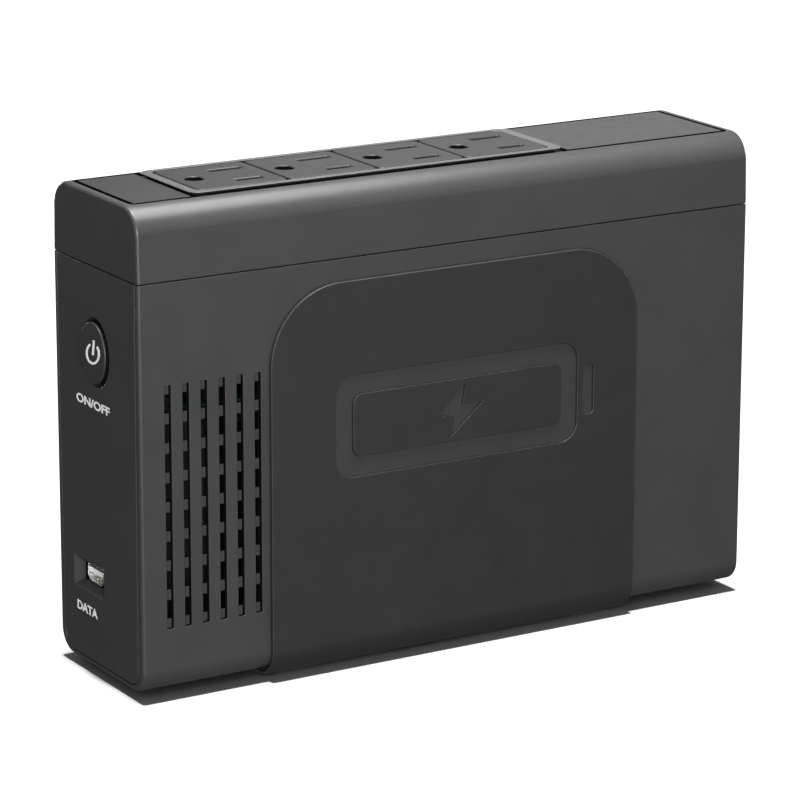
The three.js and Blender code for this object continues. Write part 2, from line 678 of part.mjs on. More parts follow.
// ---- Power button and the board behind the front panel ----
function powerButton() {
  const { y, z, r, flangeR, oval } = BUTTON;
  const tip = -HALF_L - DOME_PROUD;
  const rim = { r: r - 0.3, sag: 0.2, drop: 0.5 }; // edge of the dome, then its rounded shoulder
  const steps = 5;
  const dome = Array.from({ length: steps + 1 }, (_, i) => {
    const t = i / steps;
    return [rim.r * t, tip + rim.sag * t ** 2];
  });
  const back = -PANEL_IN_X + GAP;
  const flange = [[flangeR, back], [flangeR, back + 1]];
  const stub = [[2.2, back + 1], [2.2, back + 1.4], [0, back + 1.4]];
  const profile = [...dome, [r, tip + rim.drop], [r, back], ...flange, ...stub];
  return turned(profile, "x", [0, y, z], 24, oval);
}

const PLUNGER = { r: 1.6, from: -PANEL_IN_X + 2, length: 3.3 };

function powerSwitch() {
  const { y, z } = BUTTON;
  const [face, back, half] = [-84, FRONT_BOARD_X - GAP, 4];
  const body = box(face, back, y - half, y + half, z - half, z + half);
  return cut(body, rod("x", [0, y, z], PLUNGER.r + GAP, face - 1, face + 3.6, 12));
}

// The data port's shell: a flat tube with its two lower corners cut off
function portOutline(inset) {
  const { y, z, w, h } = PORT;
  const [hw, hh] = [w / 2 - inset, h / 2 - inset];
  const [notch, corner] = [1.3, 0.4]; // lower and upper corners
  const s = new THREE.Shape();
  s.moveTo(y - hw + notch, z - hh);
  s.lineTo(y + hw - notch, z - hh);
  s.lineTo(y + hw, z - hh + notch);
  s.lineTo(y + hw, z + hh - corner);
  s.lineTo(y + hw - corner, z + hh);
  s.lineTo(y - hw + corner, z + hh);
  s.lineTo(y - hw, z + hh - corner);
  s.lineTo(y - hw, z - hh + notch);
  return s;
}

// A block in the upper half of the shell, on a base that closes the shell's back
function portTongue() {
  const { y, z, h, wall, bevel } = PORT;
  const back = FRONT_BOARD_X - GAP;
  const front = -HALF_L + bevel + 0.6;
  const base = extrude(portOutline(wall + GAP), "x", back - 1.6, back);
  return join(base, box(front, back - 1, y - 3.5, y + 3.5, z, z + h / 2 - wall - GAP));
}

function portShell() {
  const front = -HALF_L + PORT.bevel + 0.1;
  return cut(
    extrude(portOutline(0), "x", front, FRONT_BOARD_X - GAP),
    extrude(portOutline(PORT.wall), "x", front - 1, FRONT_BOARD_X),
  );
}

const plungerTo = PLUNGER.from + PLUNGER.length;
const plunger = rod("x", [0, BUTTON.y, BUTTON.z], PLUNGER.r, PLUNGER.from, plungerTo, 12);
const frontBoard = box(FRONT_BOARD_X, FRONT_BOARD_X + BOARD_THICK, -11.5, 11.5, 12, 98);
add("power_button", powerButton(), "case");
add("switch_plunger", plunger, "white");
add("power_switch", powerSwitch(), "black");
add("front_board", frontBoard, "board");
add("port_shell", portShell(), "steel");
add("port_tongue", portTongue(), "white");

// ---- Cord gland and resettable breaker on the rear panel ----
function cordGland() {
  const { y, z, holeR, neckR, flangeR, barb } = GLAND;
  const face = HALF_L + DOME_PROUD;
  const seat = HALF_L - 1 + GAP;
  const snap = PANEL_IN_X - GAP;
  const profile = [
    [holeR, snap - 3],
    [neckR, snap - 3],
    [neckR + barb, snap - barb],
    [neckR + barb, snap],
    [neckR, snap],
    [neckR, seat],
    [flangeR, seat],
    [flangeR, face - 0.4],
    [flangeR - 0.4, face],
    [holeR + 0.8, face],
    [holeR, face - 0.8],
    [holeR, snap - 3],
  ];
  return turned(profile, "x", [0, y, z], 20);
}

function breakerBody() {
  const { y, z, bushR, plungerR } = BREAKER;
  const back = PANEL_IN_X - GAP;
  const body = box(back - 19, back, y - 7.5, y + 7.5, z - 9, z + 9);
  const bush = rod("x", [0, y, z], bushR, back - 1, HALF_L + 0.3);
  const bore = rod("x", [0, y, z], plungerR + GAP, back - 11, HALF_L + 1);
  return cut(join(body, bush), bore);
}

function breakerNut() {
  const { y, z, bushR, nutR } = BREAKER;
  const from = HALF_L - 1.4 + GAP;
  return cut(
    rod("x", [0, y, z], nutR, from, HALF_L + DOME_PROUD, 6),
    rod("x", [0, y, z], bushR + GAP, from - 1, HALF_L + 2),
  );
}

function breakerButton() {
  const { y, z, plungerR } = BREAKER;
  const tip = HALF_L + DOME_PROUD;
  const inner = PANEL_IN_X - 11;
  const profile = [
    [0, inner],
    [plungerR, inner],
    [plungerR, tip - 0.5],
    [plungerR - 0.5, tip],
    [0, tip],
  ];
  return turned(profile, "x", [0, y, z], 20);
}

add("cord_gland", cordGland(), "rubber");
add("breaker_body", breakerBody(), "black");
add("breaker_nut", breakerNut(), "steel");
add("breaker_button", breakerButton(), "black");

// ---- Battery ----
const TAB = { x: -43, y: 13, width: 4.8, thick: 0.8, height: 6.4 };
const LEAD_R = 1.3;

function batteryBlock(x0, x1, halfW, r, low, high) {
  return extrude(roundRect(x0, x1, -halfW, halfW, r), "z", low, high, 2);
}

function batteryCase() {
  const { halfL, halfW, low, seam } = BATTERY;
  return batteryBlock(-halfL, halfL, halfW, 1.5, low, seam);
}

// A lid with a raised middle, lower at the end that carries the two tabs
function batteryLid() {
  const { halfL, halfW, seam, top, step } = BATTERY;
  return join(
    batteryBlock(-halfL, halfL, halfW, 1.5, seam + GAP, top - step),
    batteryBlock(-halfL + 12, halfL - 1.5, halfW - 1.5, 1, top - step - 0.2, top),
  );
}

add("battery_case", batteryCase(), "battery");
add("battery_lid", batteryLid(), "battery");
const tabLow = BATTERY.top - BATTERY.step + GAP;
const tabHigh = tabLow + TAB.height;
SIDES.forEach((sy, i) => {
  const tab = boxAt(TAB.x, sy * TAB.y, (tabLow + tabHigh) / 2, TAB.width, TAB.thick, TAB.height);
  add("battery_tab_" + (i + 1), tab, "brass");
});
["black", "red"].forEach((colour, i) => {
  const y = SIDES[i] * TAB.y;
  const route = [
    [TAB.x, y, tabHigh + 2 * GAP],
    [TAB.x, y, tabHigh + 2.1],
    [TAB.x - 5, y, tabHigh + 3.3],
    [TAB.x - 12, y, tabHigh + 3.7],
    [TAB.x - 15, y, BOARD_Z - 2],
    [TAB.x - 15, y, BOARD_Z - 0.6],
  ];
  add("battery_lead_" + colour, wire(route, LEAD_R), colour);
});

// ---- Transformer ----
function transformerCore() {
  const { x, z, halfStack, halfY, halfZ, leg, windowZ, windowY } = CORE;
  const windows = SIDES.map((s) => {
    const [z0, z1] = span(z + s * leg, z + s * windowZ);
    return box(x - halfStack - 1, x + halfStack + 1, -windowY, windowY, z0, z1);
  });
  return cut(box(x - halfStack, x + halfStack, -halfY, halfY, z - halfZ, z + halfZ), ...windows);
}

function transformerWinding() {
  const { x, z, halfStack, leg, windowZ, windowY } = CORE;
  const reach = halfStack + 7;
  const section = roundRect(x - reach, x + reach, z - windowZ + GAP, z + windowZ - GAP, 4);
  const [holeX, holeZ] = [halfStack + GAP, leg + GAP];
  section.holes.push(roundRect(x - holeX, x + holeX, z - holeZ, z + holeZ, 0));
  return extrude(section, "y", -windowY + GAP, windowY - GAP, 4);
}

const footZ = CORE.z - CORE.halfZ - GAP - 1;

function transformerFoot() {
  const [first, last] = CORE_SCREW.x;
  const bores = CORE_SCREW.x.map((x) => {
    return rod("z", [x, 0, 0], CORE_SCREW.boreR, footZ - 1, footZ + 2, 12);
  });
  return cut(box(first - 4, last + 4, -9, 9, footZ, footZ + 1), ...bores);
}

add("transformer_core", transformerCore(), "core");
add("transformer_winding", transformerWinding(), "copper");
add("transformer_foot", transformerFoot(), "steel");
CORE_SCREW.x.forEach((x, i) => {
  const screw = panScrew(x, 0, footZ + 1 + GAP, CORE_SCREW, CORE_SCREW.length);
  add("transformer_screw_" + (i + 1), screw, "steel");
});

// ---- Main board and what stands on it ----
const ON_BOARD = BOARD_TOP + GAP;

function mainBoard() {
  const board = box(BOARD.x0, BOARD.x1, -BOARD.halfW, BOARD.halfW, BOARD_Z, BOARD_TOP);
  const holes = boardScrewSpots().map(([x, y]) => {
    return rod("z", [x, y, 0], BOARD_SCREW.boreR, BOARD_Z - 1, BOARD_TOP + 1, 12);
  });
  return cut(board, ...holes);
}

function heatSink(sy) {
  const { x, halfX, inY, outY, fins, thick, height } = SINK;
  const [b0, b1] = span(sy * inY, sy * (inY + 2.2));
  let sink = box(x - halfX, x + halfX, b0, b1, ON_BOARD, ON_BOARD + height);
  const [y0, y1] = span(sy * (inY + 2), sy * outY);
  for (let i = 0; i < fins; i++) {
    const finX = x - halfX + (i * (2 * halfX - thick)) / (fins - 1);
    sink = join(sink, box(finX, finX + thick, y0, y1, ON_BOARD, ON_BOARD + height));
  }
  return sink;
}

function transistor(sy) {
  const { x, inY } = SINK;
  const [y0, y1] = span(sy * 0.4, sy * (inY - GAP));
  let body = box(x - 5, x + 5, y0, y1, ON_BOARD + 5, ON_BOARD + 20);
  for (const dx of [-2.5, 0, 2.5]) {
    body = join(body, box(x + dx - 0.5, x + dx + 0.5, y0 + 0.6, y1 - 0.6, ON_BOARD, ON_BOARD + 5.5));
  }
  return body;
}

function capacitor({ x, y, r, height }) {
  const [z, top] = [ON_BOARD, ON_BOARD + height];
  const profile = [
    [0, z],
    [r, z],
    [r, z + 1.6],
    [r - 0.5, z + 2.2],
    [r, z + 2.8],
    [r, top - 0.5],
    [r - 0.5, top],
    [0, top],
  ];
  return turned(profile, "z", [x, y, 0], 14);
}

function choke(x, y, ringR, tubeR) {
  const g = new THREE.TorusGeometry(ringR, tubeR, 10, 22);
  g.translate(x, y, ON_BOARD + tubeR);
  return solid(g);
}

const FUSE = { x: 48, y: -9, z: ON_BOARD + 6, half: 10, capR: 2.6, glassR: 2.3, cap: 5 };

function fuse() {
  const { x, y, z, half, capR, glassR, cap } = FUSE;
  const profile = [
    [0, -half],
    [capR, -half],
    [capR, cap - half],
    [glassR, cap - half],
    [glassR, half - cap],
    [capR, half - cap],
    [capR, half],
    [0, half],
  ];
  return turned(profile, "x", [x, y, z], 14);
}

function fuseHolder() {
  const { x, y, z, half, capR } = FUSE;
  const body = box(x - half - 1, x + half + 1, y - 4, y + 4, ON_BOARD, z);
  return cut(body, rod("x", [0, y, z], capR + GAP, x - 2 * half, x + 2 * half, 14));
}

function buzzer() {
  const at = [48, 8, 0];
  return cut(
    rod("z", at, 6, ON_BOARD, ON_BOARD + 8.5, 20),
    rod("z", at, 1, ON_BOARD + 5, ON_BOARD + 10, 10),
  );
}

const CAPACITORS = [
  { x: -36, y: -9, r: 7.5, height: 26 },
  { x: -36, y: 9, r: 7.5, height: 26 },
  { x: -18, y: 9, r: 6, height: 20 },
];
const RELAY = { x: 4, y: 9, sizeX: 19, sizeY: 15, height: 15.6 };

add("main_board", mainBoard(), "board");
SIDES.forEach((sy, i) => {
  add("heat_sink_" + (i + 1), heatSink(sy), "aluminium");
  add("transistor_" + (i + 1), transistor(sy), "black");
});
CAPACITORS.forEach((can, i) => {
  add("capacitor_" + (i + 1), capacitor(can), "blue");
});
SIDES.forEach((sy, i) => {
  const { x, y, sizeX, sizeY, height } = RELAY;
  add("relay_" + (i + 1), boxAt(x, sy * y, ON_BOARD + height / 2, sizeX, sizeY, height), "black");
});
add("buzzer", buzzer(), "black");
add("choke", choke(25, 0, 6.8, 3.4), "copper");
add("fuse_holder", fuseHolder(), "black");
add("fuse", fuse(), "white");
boardScrewSpots().slice(0, 2).forEach(([x, y], i) => {
  const screw = panScrew(x, y, BOARD_TOP + GAP, BOARD_SCREW, BOARD_SCREW.length);
  add("board_screw_" + (i + 1), screw, "steel");
});

export default ups;
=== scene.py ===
import json
import math

import bmesh
import bpy
from mathutils import Matrix, Vector

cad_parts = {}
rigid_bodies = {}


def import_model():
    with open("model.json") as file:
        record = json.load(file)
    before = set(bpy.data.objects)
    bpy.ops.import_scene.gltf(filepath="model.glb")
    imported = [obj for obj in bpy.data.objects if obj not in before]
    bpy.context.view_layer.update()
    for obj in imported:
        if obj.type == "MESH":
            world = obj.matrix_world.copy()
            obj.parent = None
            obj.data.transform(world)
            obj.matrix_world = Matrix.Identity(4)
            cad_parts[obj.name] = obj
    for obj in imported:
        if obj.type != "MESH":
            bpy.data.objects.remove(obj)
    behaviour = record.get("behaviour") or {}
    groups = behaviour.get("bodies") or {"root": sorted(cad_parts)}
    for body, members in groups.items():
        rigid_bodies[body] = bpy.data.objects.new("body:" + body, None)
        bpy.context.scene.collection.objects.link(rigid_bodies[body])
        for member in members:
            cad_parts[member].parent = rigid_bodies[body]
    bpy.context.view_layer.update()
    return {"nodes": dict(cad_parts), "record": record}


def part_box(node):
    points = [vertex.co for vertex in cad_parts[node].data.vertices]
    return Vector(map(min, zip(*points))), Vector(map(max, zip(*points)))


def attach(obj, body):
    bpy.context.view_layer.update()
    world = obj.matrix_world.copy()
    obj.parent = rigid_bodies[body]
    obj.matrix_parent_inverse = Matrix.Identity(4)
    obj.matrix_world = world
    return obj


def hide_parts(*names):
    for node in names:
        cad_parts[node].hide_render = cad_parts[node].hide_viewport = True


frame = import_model()
MM = 0.001  # metres in a millimetre


# ---- Sizes, in millimetres ----
def box_mm(node):
    low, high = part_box(node)
    return low / MM, high / MM


CASE_LOW, CASE_HIGH = box_mm("lower_housing")
COVER_HIGH = box_mm("top_cover")[1]
PLATE_LOW, PLATE_HIGH = box_mm("top_plate")
BEZEL_LOW, BEZEL_HIGH = box_mm("outlet_bezel")
PANEL_LOW, PANEL_HIGH = box_mm("front_panel")
SADDLE_LOW, SADDLE_HIGH = box_mm("saddle_panel")
KEY_LOW, KEY_HIGH = box_mm("power_button")
SHELL_LOW, SHELL_HIGH = box_mm("port_shell")
GLAND_LOW, GLAND_HIGH = box_mm("cord_gland")
NUT_LOW, NUT_HIGH = box_mm("breaker_nut")
TRIP_LOW, TRIP_HIGH = box_mm("breaker_button")
OUTLET_BOXES = [box_mm(f"receptacle_{i}") for i in range(1, 5)]

HALF_L = CASE_HIGH.x
HALF_D = CASE_HIGH.y
BASE_Z = CASE_LOW.z
SEAM_LOW = CASE_HIGH.z
TOP_Z = COVER_HIGH.z
WALL = PANEL_HIGH.x - PANEL_LOW.x
PANEL_IN_X = HALF_L - WALL
FLOOR_Z = BASE_Z + WALL
INNER_Y = HALF_D - WALL
SEAM_GAP = 0.3  # the dark line between housing and cover
SEAM_HIGH = SEAM_LOW + SEAM_GAP  # underside of the cover
GAP = 0.3  # clearance between pieces that meet
PAST = 1  # how far a tool runs on past what it cuts
OVERLAP = 0.5  # how far an added part reaches into the wall that it is joined to

BASE_EDGE_R = 6
COVER_EDGE_R = 7
COVER_DRAFT = 0.35
END_ROLL = 0.9  # rounding between the wide faces and the ends
RIM_R = 0.25  # softness of a moulded edge
SEAM_R = 0.15  # softness of the edges that meet at the seam

GROOVE = 0.6  # round each outlet
CLOSED_GROOVE = 0.12  # at the +X end of the last outlet
PLATE_GROOVE = 1.0  # round the top plate
PLATE_R = 0.6
PLATE_EDGE = 0.1  # rounding of its face, and of the pocket's rim
PLATE_INSET = 0.3  # its edge inside the CAD plate's
CHANNEL = {"depth": 0.9, "margin": 0.6}  # the step in the plate under the bezel's edge
BEZEL_R = 3
NECK = {"inset": 1.4, "r": 2.4}
FLANGE = {"under": 0.2, "undercut": 0.9, "edge": 0.2, "flare": 0.12}
FLANGE_TURN = [(-0.32, -0.06), (-0.22, 0)]  # (height from its top, growth) where the undercut ends
OUTLET_R = 1.6
OUTLET_EDGE = 0.3  # rounding of an outlet's face
DECK_Z = PLATE_LOW.z - GAP
DECK_THICK = 2

VENT = {"columns": 6, "pitch": 5, "width": 1.8, "first_x": -82.2, "low": 16.4, "high": 78.6}
VENT_RIB = {"rows": 8, "pitch": 7.49, "height": 4.8, "middle": 47.4, "skin": 1.3}
VENT_R = 0.2  # rounding of the slots' corners
VENT_FLARE = 0.12

INK_DEPTH = 0.04  # of the printing
INK_SUNK = 0.02  # how much of it is in the surface

KEY = {
    "y": (KEY_LOW.y + KEY_HIGH.y) / 2,
    "z": (KEY_LOW.z + KEY_HIGH.z) / 2,
    "r": 7.8,
    "hole_r": 8.8,
    "hole_flare": 0.35,
    "flange_r": 9.8,
    "stub_r": 2.2,
    "oval": 0.87,
}
PORT = {
    "y": (SHELL_LOW.y + SHELL_HIGH.y) / 2,
    "z": (SHELL_LOW.z + SHELL_HIGH.z) / 2,
    "width": 16.6,
    "height": 8.2,
    "bevel": 1.7,
    "wall": 0.4,
    "notch": 1.3,
    "r": 0.5,
    "contacts": 5,
    "contact_pitch": 1.15,
    "contact_half": 0.3,
}
BOARD_LOW = box_mm("main_board")[0]
BATTERY_HIGH = box_mm("battery_lid")[1]
SIDES = (-1, 1)


def centre_of(node):
    low, high = box_mm(node)
    return (low + high) / 2


def places_of(name, count):
    """Where the numbered nodes of one kind stand, seen from above."""
    return [tuple(centre_of(f"{name}_{i}"))[:2] for i in range(1, count + 1)]


GLAND = tuple(centre_of("cord_gland"))[1:]
BREAKER = tuple(centre_of("breaker_nut"))[1:]


# ---- Outlines: lists of 2-D points, anticlockwise ----
def arc(cx, cy, radius, start, end, steps=10):
    """Points from angle start to angle end, in degrees."""
    points = []
    for i in range(steps + 1):
        angle = math.radians(start + (end - start) * i / steps)
        points.append((cx + radius * math.cos(angle), cy + radius * math.sin(angle)))
    return points


def round_rect(x0, x1, y0, y1, low_r, high_r=None, steps=10):
    high_r = low_r if high_r is None else high_r
    corners = [
        (x1 - low_r, y0 + low_r, low_r, -90),
        (x1 - high_r, y1 - high_r, high_r, 0),
        (x0 + high_r, y1 - high_r, high_r, 90),
        (x0 + low_r, y0 + low_r, low_r, 180),
    ]
    points = []
    for cx, cy, radius, start in corners:
        if radius > 0:
            points += arc(cx, cy, radius, start, start + 90, steps)
        else:
            points.append((cx, cy))
    return points


def ellipse(cx, cy, rx, ry, steps=64):
    turn = [2 * math.pi * i / steps for i in range(steps)]
    return [(cx + rx * math.cos(a), cy + ry * math.sin(a)) for a in turn]


def grown(points, distance):
    """The outline with every side moved outwards by distance, or inwards where it is negative."""
    if distance == 0:
        return points
    count = len(points)
    moved = []
    for i in range(count):
        before, at, after = (Vector(points[(i + k) % count]) for k in (-1, 0, 1))
        first, second = (at - before).normalized(), (after - at).normalized()
        first_out, second_out = Vector((first.y, -first.x)), Vector((second.y, -second.x))
        corner = (first_out + second_out) / (1 + first_out.dot(second_out))
        moved.append(tuple(at + corner * distance))
    return moved


# ---- Solids ----
FLAT_ANGLE = math.radians(0.5)  # faces that meet at less than this are made one
WELD = 1e-3  # corners nearer to each other than this are made one
SOFT_ANGLE = math.radians(60)  # edges sharper than this are rounded on the saddle panel


def to_space(axis, u, v, place):
    return {"x": (place, u, v), "y": (u, place, v), "z": (u, v, place)}[axis]


def add_object(name, data):
    made = bpy.data.objects.new(name, data)
    bpy.context.scene.collection.objects.link(made)
    return made


def solid_from(bm):
    bmesh.ops.recalc_face_normals(bm, faces=bm.faces)
    mesh = bpy.data.meshes.new("solid")
    bm.to_mesh(mesh)
    bm.free()
    return add_object("solid", mesh)


def loft(sections, axis):
    """A closed solid through outlines with the same number of points: (place, points) pairs."""
    bm = bmesh.new()
    rings = []
    for place, points in sections:
        rings.append([bm.verts.new(to_space(axis, u, v, place)) for u, v in points])
    bm.faces.new(rings[0])
    bm.faces.new(rings[-1])
    count = len(rings[0])
    for lower, upper in zip(rings, rings[1:]):
        for i in range(count):
            j = (i + 1) % count
            bm.faces.new((lower[i], lower[j], upper[j], upper[i]))
    return solid_from(bm)


def edge_stations(low, high, low_edge=0.0, high_edge=0.0, steps=4):
    """(place, growth) pairs between two places. A positive edge is a rounding, a negative one flares."""

    def curve(place, edge, inwards):
        if edge == 0:
            return [(place, 0.0)]
        radius, way = abs(edge), math.copysign(1, edge)
        stations = []
        for i in range(steps + 1):
            angle = math.radians(90 * i / steps)
            depth = radius * (1 - math.sin(angle))
            stations.append((place + inwards * depth, -way * radius * (1 - math.cos(angle))))
        return stations

    rise = 1 if high > low else -1
    return curve(low, low_edge, rise)[::-1] + curve(high, high_edge, -rise)


def slab(points, axis, low, high, low_edge=0.0, high_edge=0.0, steps=4):
    stations = edge_stations(low, high, low_edge, high_edge, steps)
    return loft([(place, grown(points, growth)) for place, growth in stations], axis)


def cutter(points, axis, inner, outer, flare=0.0):
    """A tool for a hole: it opens out by flare at the surface, and runs on past the surface."""
    stations = edge_stations(inner, outer, 0.0, -flare)
    beyond = outer + math.copysign(1.0, outer - inner)
    stations.append((beyond, stations[-1][1]))
    return loft([(place, grown(points, growth)) for place, growth in stations], axis)


def block(x0, x1, y0, y1, z0, z1):
    (x0, x1), (y0, y1), (z0, z1) = sorted((x0, x1)), sorted((y0, y1)), sorted((z0, z1))
    return loft([(z, [(x0, y0), (x1, y0), (x1, y1), (x0, y1)]) for z in (z0, z1)], "z")


def turned(profile, axis, centre, steps=64, oval=1.0):
    """A solid of revolution through (radius, place) points; oval, if below 1, narrows it across Y."""
    bm = bmesh.new()
    rings = []
    for radius, place in profile:
        if radius == 0:
            rings.append([bm.verts.new(to_space(axis, *centre, place))])
            continue
        ring = ellipse(*centre, radius * oval, radius, steps)
        rings.append([bm.verts.new(to_space(axis, u, v, place)) for u, v in ring])
    for lower, upper in zip(rings, rings[1:]):
        for i in range(steps):
            j = (i + 1) % steps
            corners = [lower[i % len(lower)], lower[j % len(lower)]]
            corners += [upper[j % len(upper)], upper[i % len(upper)]]
            bm.faces.new(list(dict.fromkeys(corners)))
    if profile[0] == profile[-1]:
        bmesh.ops.remove_doubles(bm, verts=bm.verts, dist=1e-5)
    return solid_from(bm)


def rod(axis, centre, radius, low, high, edge=0.0, steps=48):
    stations = edge_stations(low, high, edge, edge)
    profile = [(radius + growth, place) for place, growth in stations]
    return turned([(0, low), *profile, (0, high)], axis, centre, steps)


def bake(body):
    """Makes the body's modifiers part of its mesh."""
    graph = bpy.context.evaluated_depsgraph_get()
    made = bpy.data.meshes.new_from_object(body.evaluated_get(graph))
    before = body.data
    body.modifiers.clear()
    body.data = made
    bpy.data.meshes.remove(before)
    return body


def combine(body, operation, tools):
    for tool in tools:
        modifier = body.modifiers.new("combine", "BOOLEAN")
        modifier.operation = operation
        modifier.object = tool
        modifier.solver = "MANIFOLD"
    bake(body)
    for tool in tools:
        bpy.data.objects.remove(tool)
    return body


def cut(body, *tools):
    return combine(body, "DIFFERENCE", tools)


def join(body, *tools):
    return combine(body, "UNION", tools)


def common(body, *tools):
    return combine(body, "INTERSECT", tools)


def soften(body, width, wanted, segments=3):
    """Rounds the edges for which wanted(edge) is true."""
    bm = bmesh.new()
    bm.from_mesh(body.data)
    bmesh.ops.remove_doubles(bm, verts=bm.verts, dist=WELD)
    bmesh.ops.dissolve_limit(bm, angle_limit=FLAT_ANGLE, verts=bm.verts, edges=bm.edges)
    bm.normal_update()
    edges = [edge for edge in bm.edges if edge.is_manifold and wanted(edge)]
    bmesh.ops.bevel(
        bm, geom=edges, offset=width, offset_type="OFFSET", segments=segments, profile=0.5, affect="EDGES"
    )
    bm.to_mesh(body.data)
    bm.free()
    return body


# ---- Materials ----
class Nodes:
    """A material's node tree, with its Principled shader."""

    def __init__(self, name):
        self.material = bpy.data.materials.new(name)
        self.material.use_nodes = True
        self.tree = self.material.node_tree
        self.shader = self.tree.nodes["Principled BSDF"]
        self.place = self.add("ShaderNodeTexCoord").outputs["Object"]

    def add(self, kind, **inputs):
        node = self.tree.nodes.new(kind)
        for name, value in inputs.items():
            node.inputs[name.replace("_", " ")].default_value = value
        return node

    def link(self, output, node, socket):
        self.tree.links.new(output, node.inputs[socket])

    def noise(self, size_mm, detail=2.0, roughness=0.5, stretch=None):
        node = self.add("ShaderNodeTexNoise", Scale=1 / (size_mm * MM), Detail=detail, Roughness=roughness)
        place = self.place
        if stretch:
            mapping = self.add("ShaderNodeMapping", Scale=stretch)
            self.link(place, mapping, "Vector")
            place = mapping.outputs["Vector"]
        self.link(place, node, "Vector")
        return node.outputs["Fac"]

    def ramp(self, value, low, high):
        """Value from 0.3 to 0.7, where most noise lies, spread over low to high."""
        node = self.add("ShaderNodeMapRange", From_Min=0.3, From_Max=0.7, To_Min=low, To_Max=high)
        self.link(value, node, "Value")
        return node.outputs["Result"]

    def mix(self, factor, first, second):
        node = self.tree.nodes.new("ShaderNodeMix")
        node.data_type = "RGBA"
        node.inputs["A"].default_value = (*first, 1)
        node.inputs["B"].default_value = (*second, 1)
        self.link(factor, node, "Factor")
        return next(o for o in node.outputs if o.type == "RGBA")

    def colour(self, noise, first, second):
        self.link(self.mix(self.ramp(noise, 0, 1), first, second), self.shader, "Base Color")

    def rough(self, value, low, high):
        self.link(self.ramp(value, low, high), self.shader, "Roughness")

    def bump(self, height, depth_mm, strength=1.0):
        node = self.add("ShaderNodeBump", Strength=strength, Distance=depth_mm * MM)
        self.link(height, node, "Height")
        self.link(node.outputs["Normal"], self.shader, "Normal")


def scaled(colour, factor):
    return tuple(channel * factor for channel in colour)


def moulded(name, colour, roughness=0.5, specular=0.3, grain_mm=0.22, grain_depth=0.004):
    """Moulded plastic: a fine spark-eroded grain, and slow changes in tone and gloss."""
    n = Nodes(name)
    n.colour(n.noise(14, detail=3), scaled(colour, 0.95), scaled(colour, 1.05))
    n.rough(n.noise(5, detail=4), roughness - 0.03, roughness + 0.03)
    n.shader.inputs["Specular IOR Level"].default_value = specular
    n.bump(n.noise(grain_mm, detail=3, roughness=0.6), grain_depth)
    return n.material


def metal(name, colour, roughness=0.3, brushed=None):
    """Bare or plated metal, with fine drawing marks if brushed gives their stretch."""
    n = Nodes(name)
    marks = n.noise(0.4, detail=4, stretch=brushed)
    n.colour(n.noise(3, detail=3), scaled(colour, 0.9), colour)
    n.rough(marks, roughness - 0.08, roughness + 0.1)
    n.shader.inputs["Metallic"].default_value = 1.0
    n.bump(marks, 0.006)
    return n.material


def rubber(name, colour):
    n = Nodes(name)
    n.colour(n.noise(2.5, detail=5), colour, scaled(colour, 1.8))
    n.rough(n.noise(1.2, detail=4), 0.7, 0.9)
    n.bump(n.noise(0.35, detail=4), 0.012)
    return n.material


def circuit_board(name):
    """Green solder mask with tracks showing faintly through it."""
    n = Nodes(name)
    tracks = n.tree.nodes.new("ShaderNodeTexBrick")
    n.link(n.place, tracks, "Vector")
    for socket, value in (("Scale", 1 / (4 * MM)), ("Mortar Size", 0.06)):
        tracks.inputs[socket].default_value = value
    green, pale = (0.003, 0.018, 0.008), (0.01, 0.065, 0.025)
    tracks.inputs["Color1"].default_value = (*green, 1)
    tracks.inputs["Color2"].default_value = (*scaled(green, 1.25), 1)
    tracks.inputs["Mortar"].default_value = (*pale, 1)
    n.link(tracks.outputs["Color"], n.shader, "Base Color")
    n.rough(n.noise(3, detail=3), 0.3, 0.42)
    n.bump(tracks.outputs["Fac"], 0.03)
    return n.material


def banded(name, colour, dark, pitch_mm, axis, roughness=0.4, metallic=0.8):
    """Stacked sheets or laid wire: fine bands along one axis."""
    n = Nodes(name)
    bands = n.add("ShaderNodeTexWave", Scale=1 / (pitch_mm * MM * math.pi), Distortion=0.4)
    bands.bands_direction = axis
    n.link(n.place, bands, "Vector")
    n.link(n.mix(bands.outputs["Fac"], dark, colour), n.shader, "Base Color")
    n.rough(n.noise(2), roughness, roughness + 0.1)
    n.shader.inputs["Metallic"].default_value = metallic
    n.bump(bands.outputs["Fac"], 0.08)
    return n.material


def glass(name, colour):
    n = Nodes(name)
    n.colour(n.noise(2), colour, scaled(colour, 0.92))
    n.rough(n.noise(1), 0.04, 0.1)
    n.shader.inputs["Coat Weight"].default_value = 0.6
    return n.material


def printed_ink(name):
    n = Nodes(name)
    n.colour(n.noise(0.3), (0.86, 0.86, 0.86), (0.8, 0.8, 0.8))
    n.rough(n.noise(0.5), 0.45, 0.55)
    return n.material


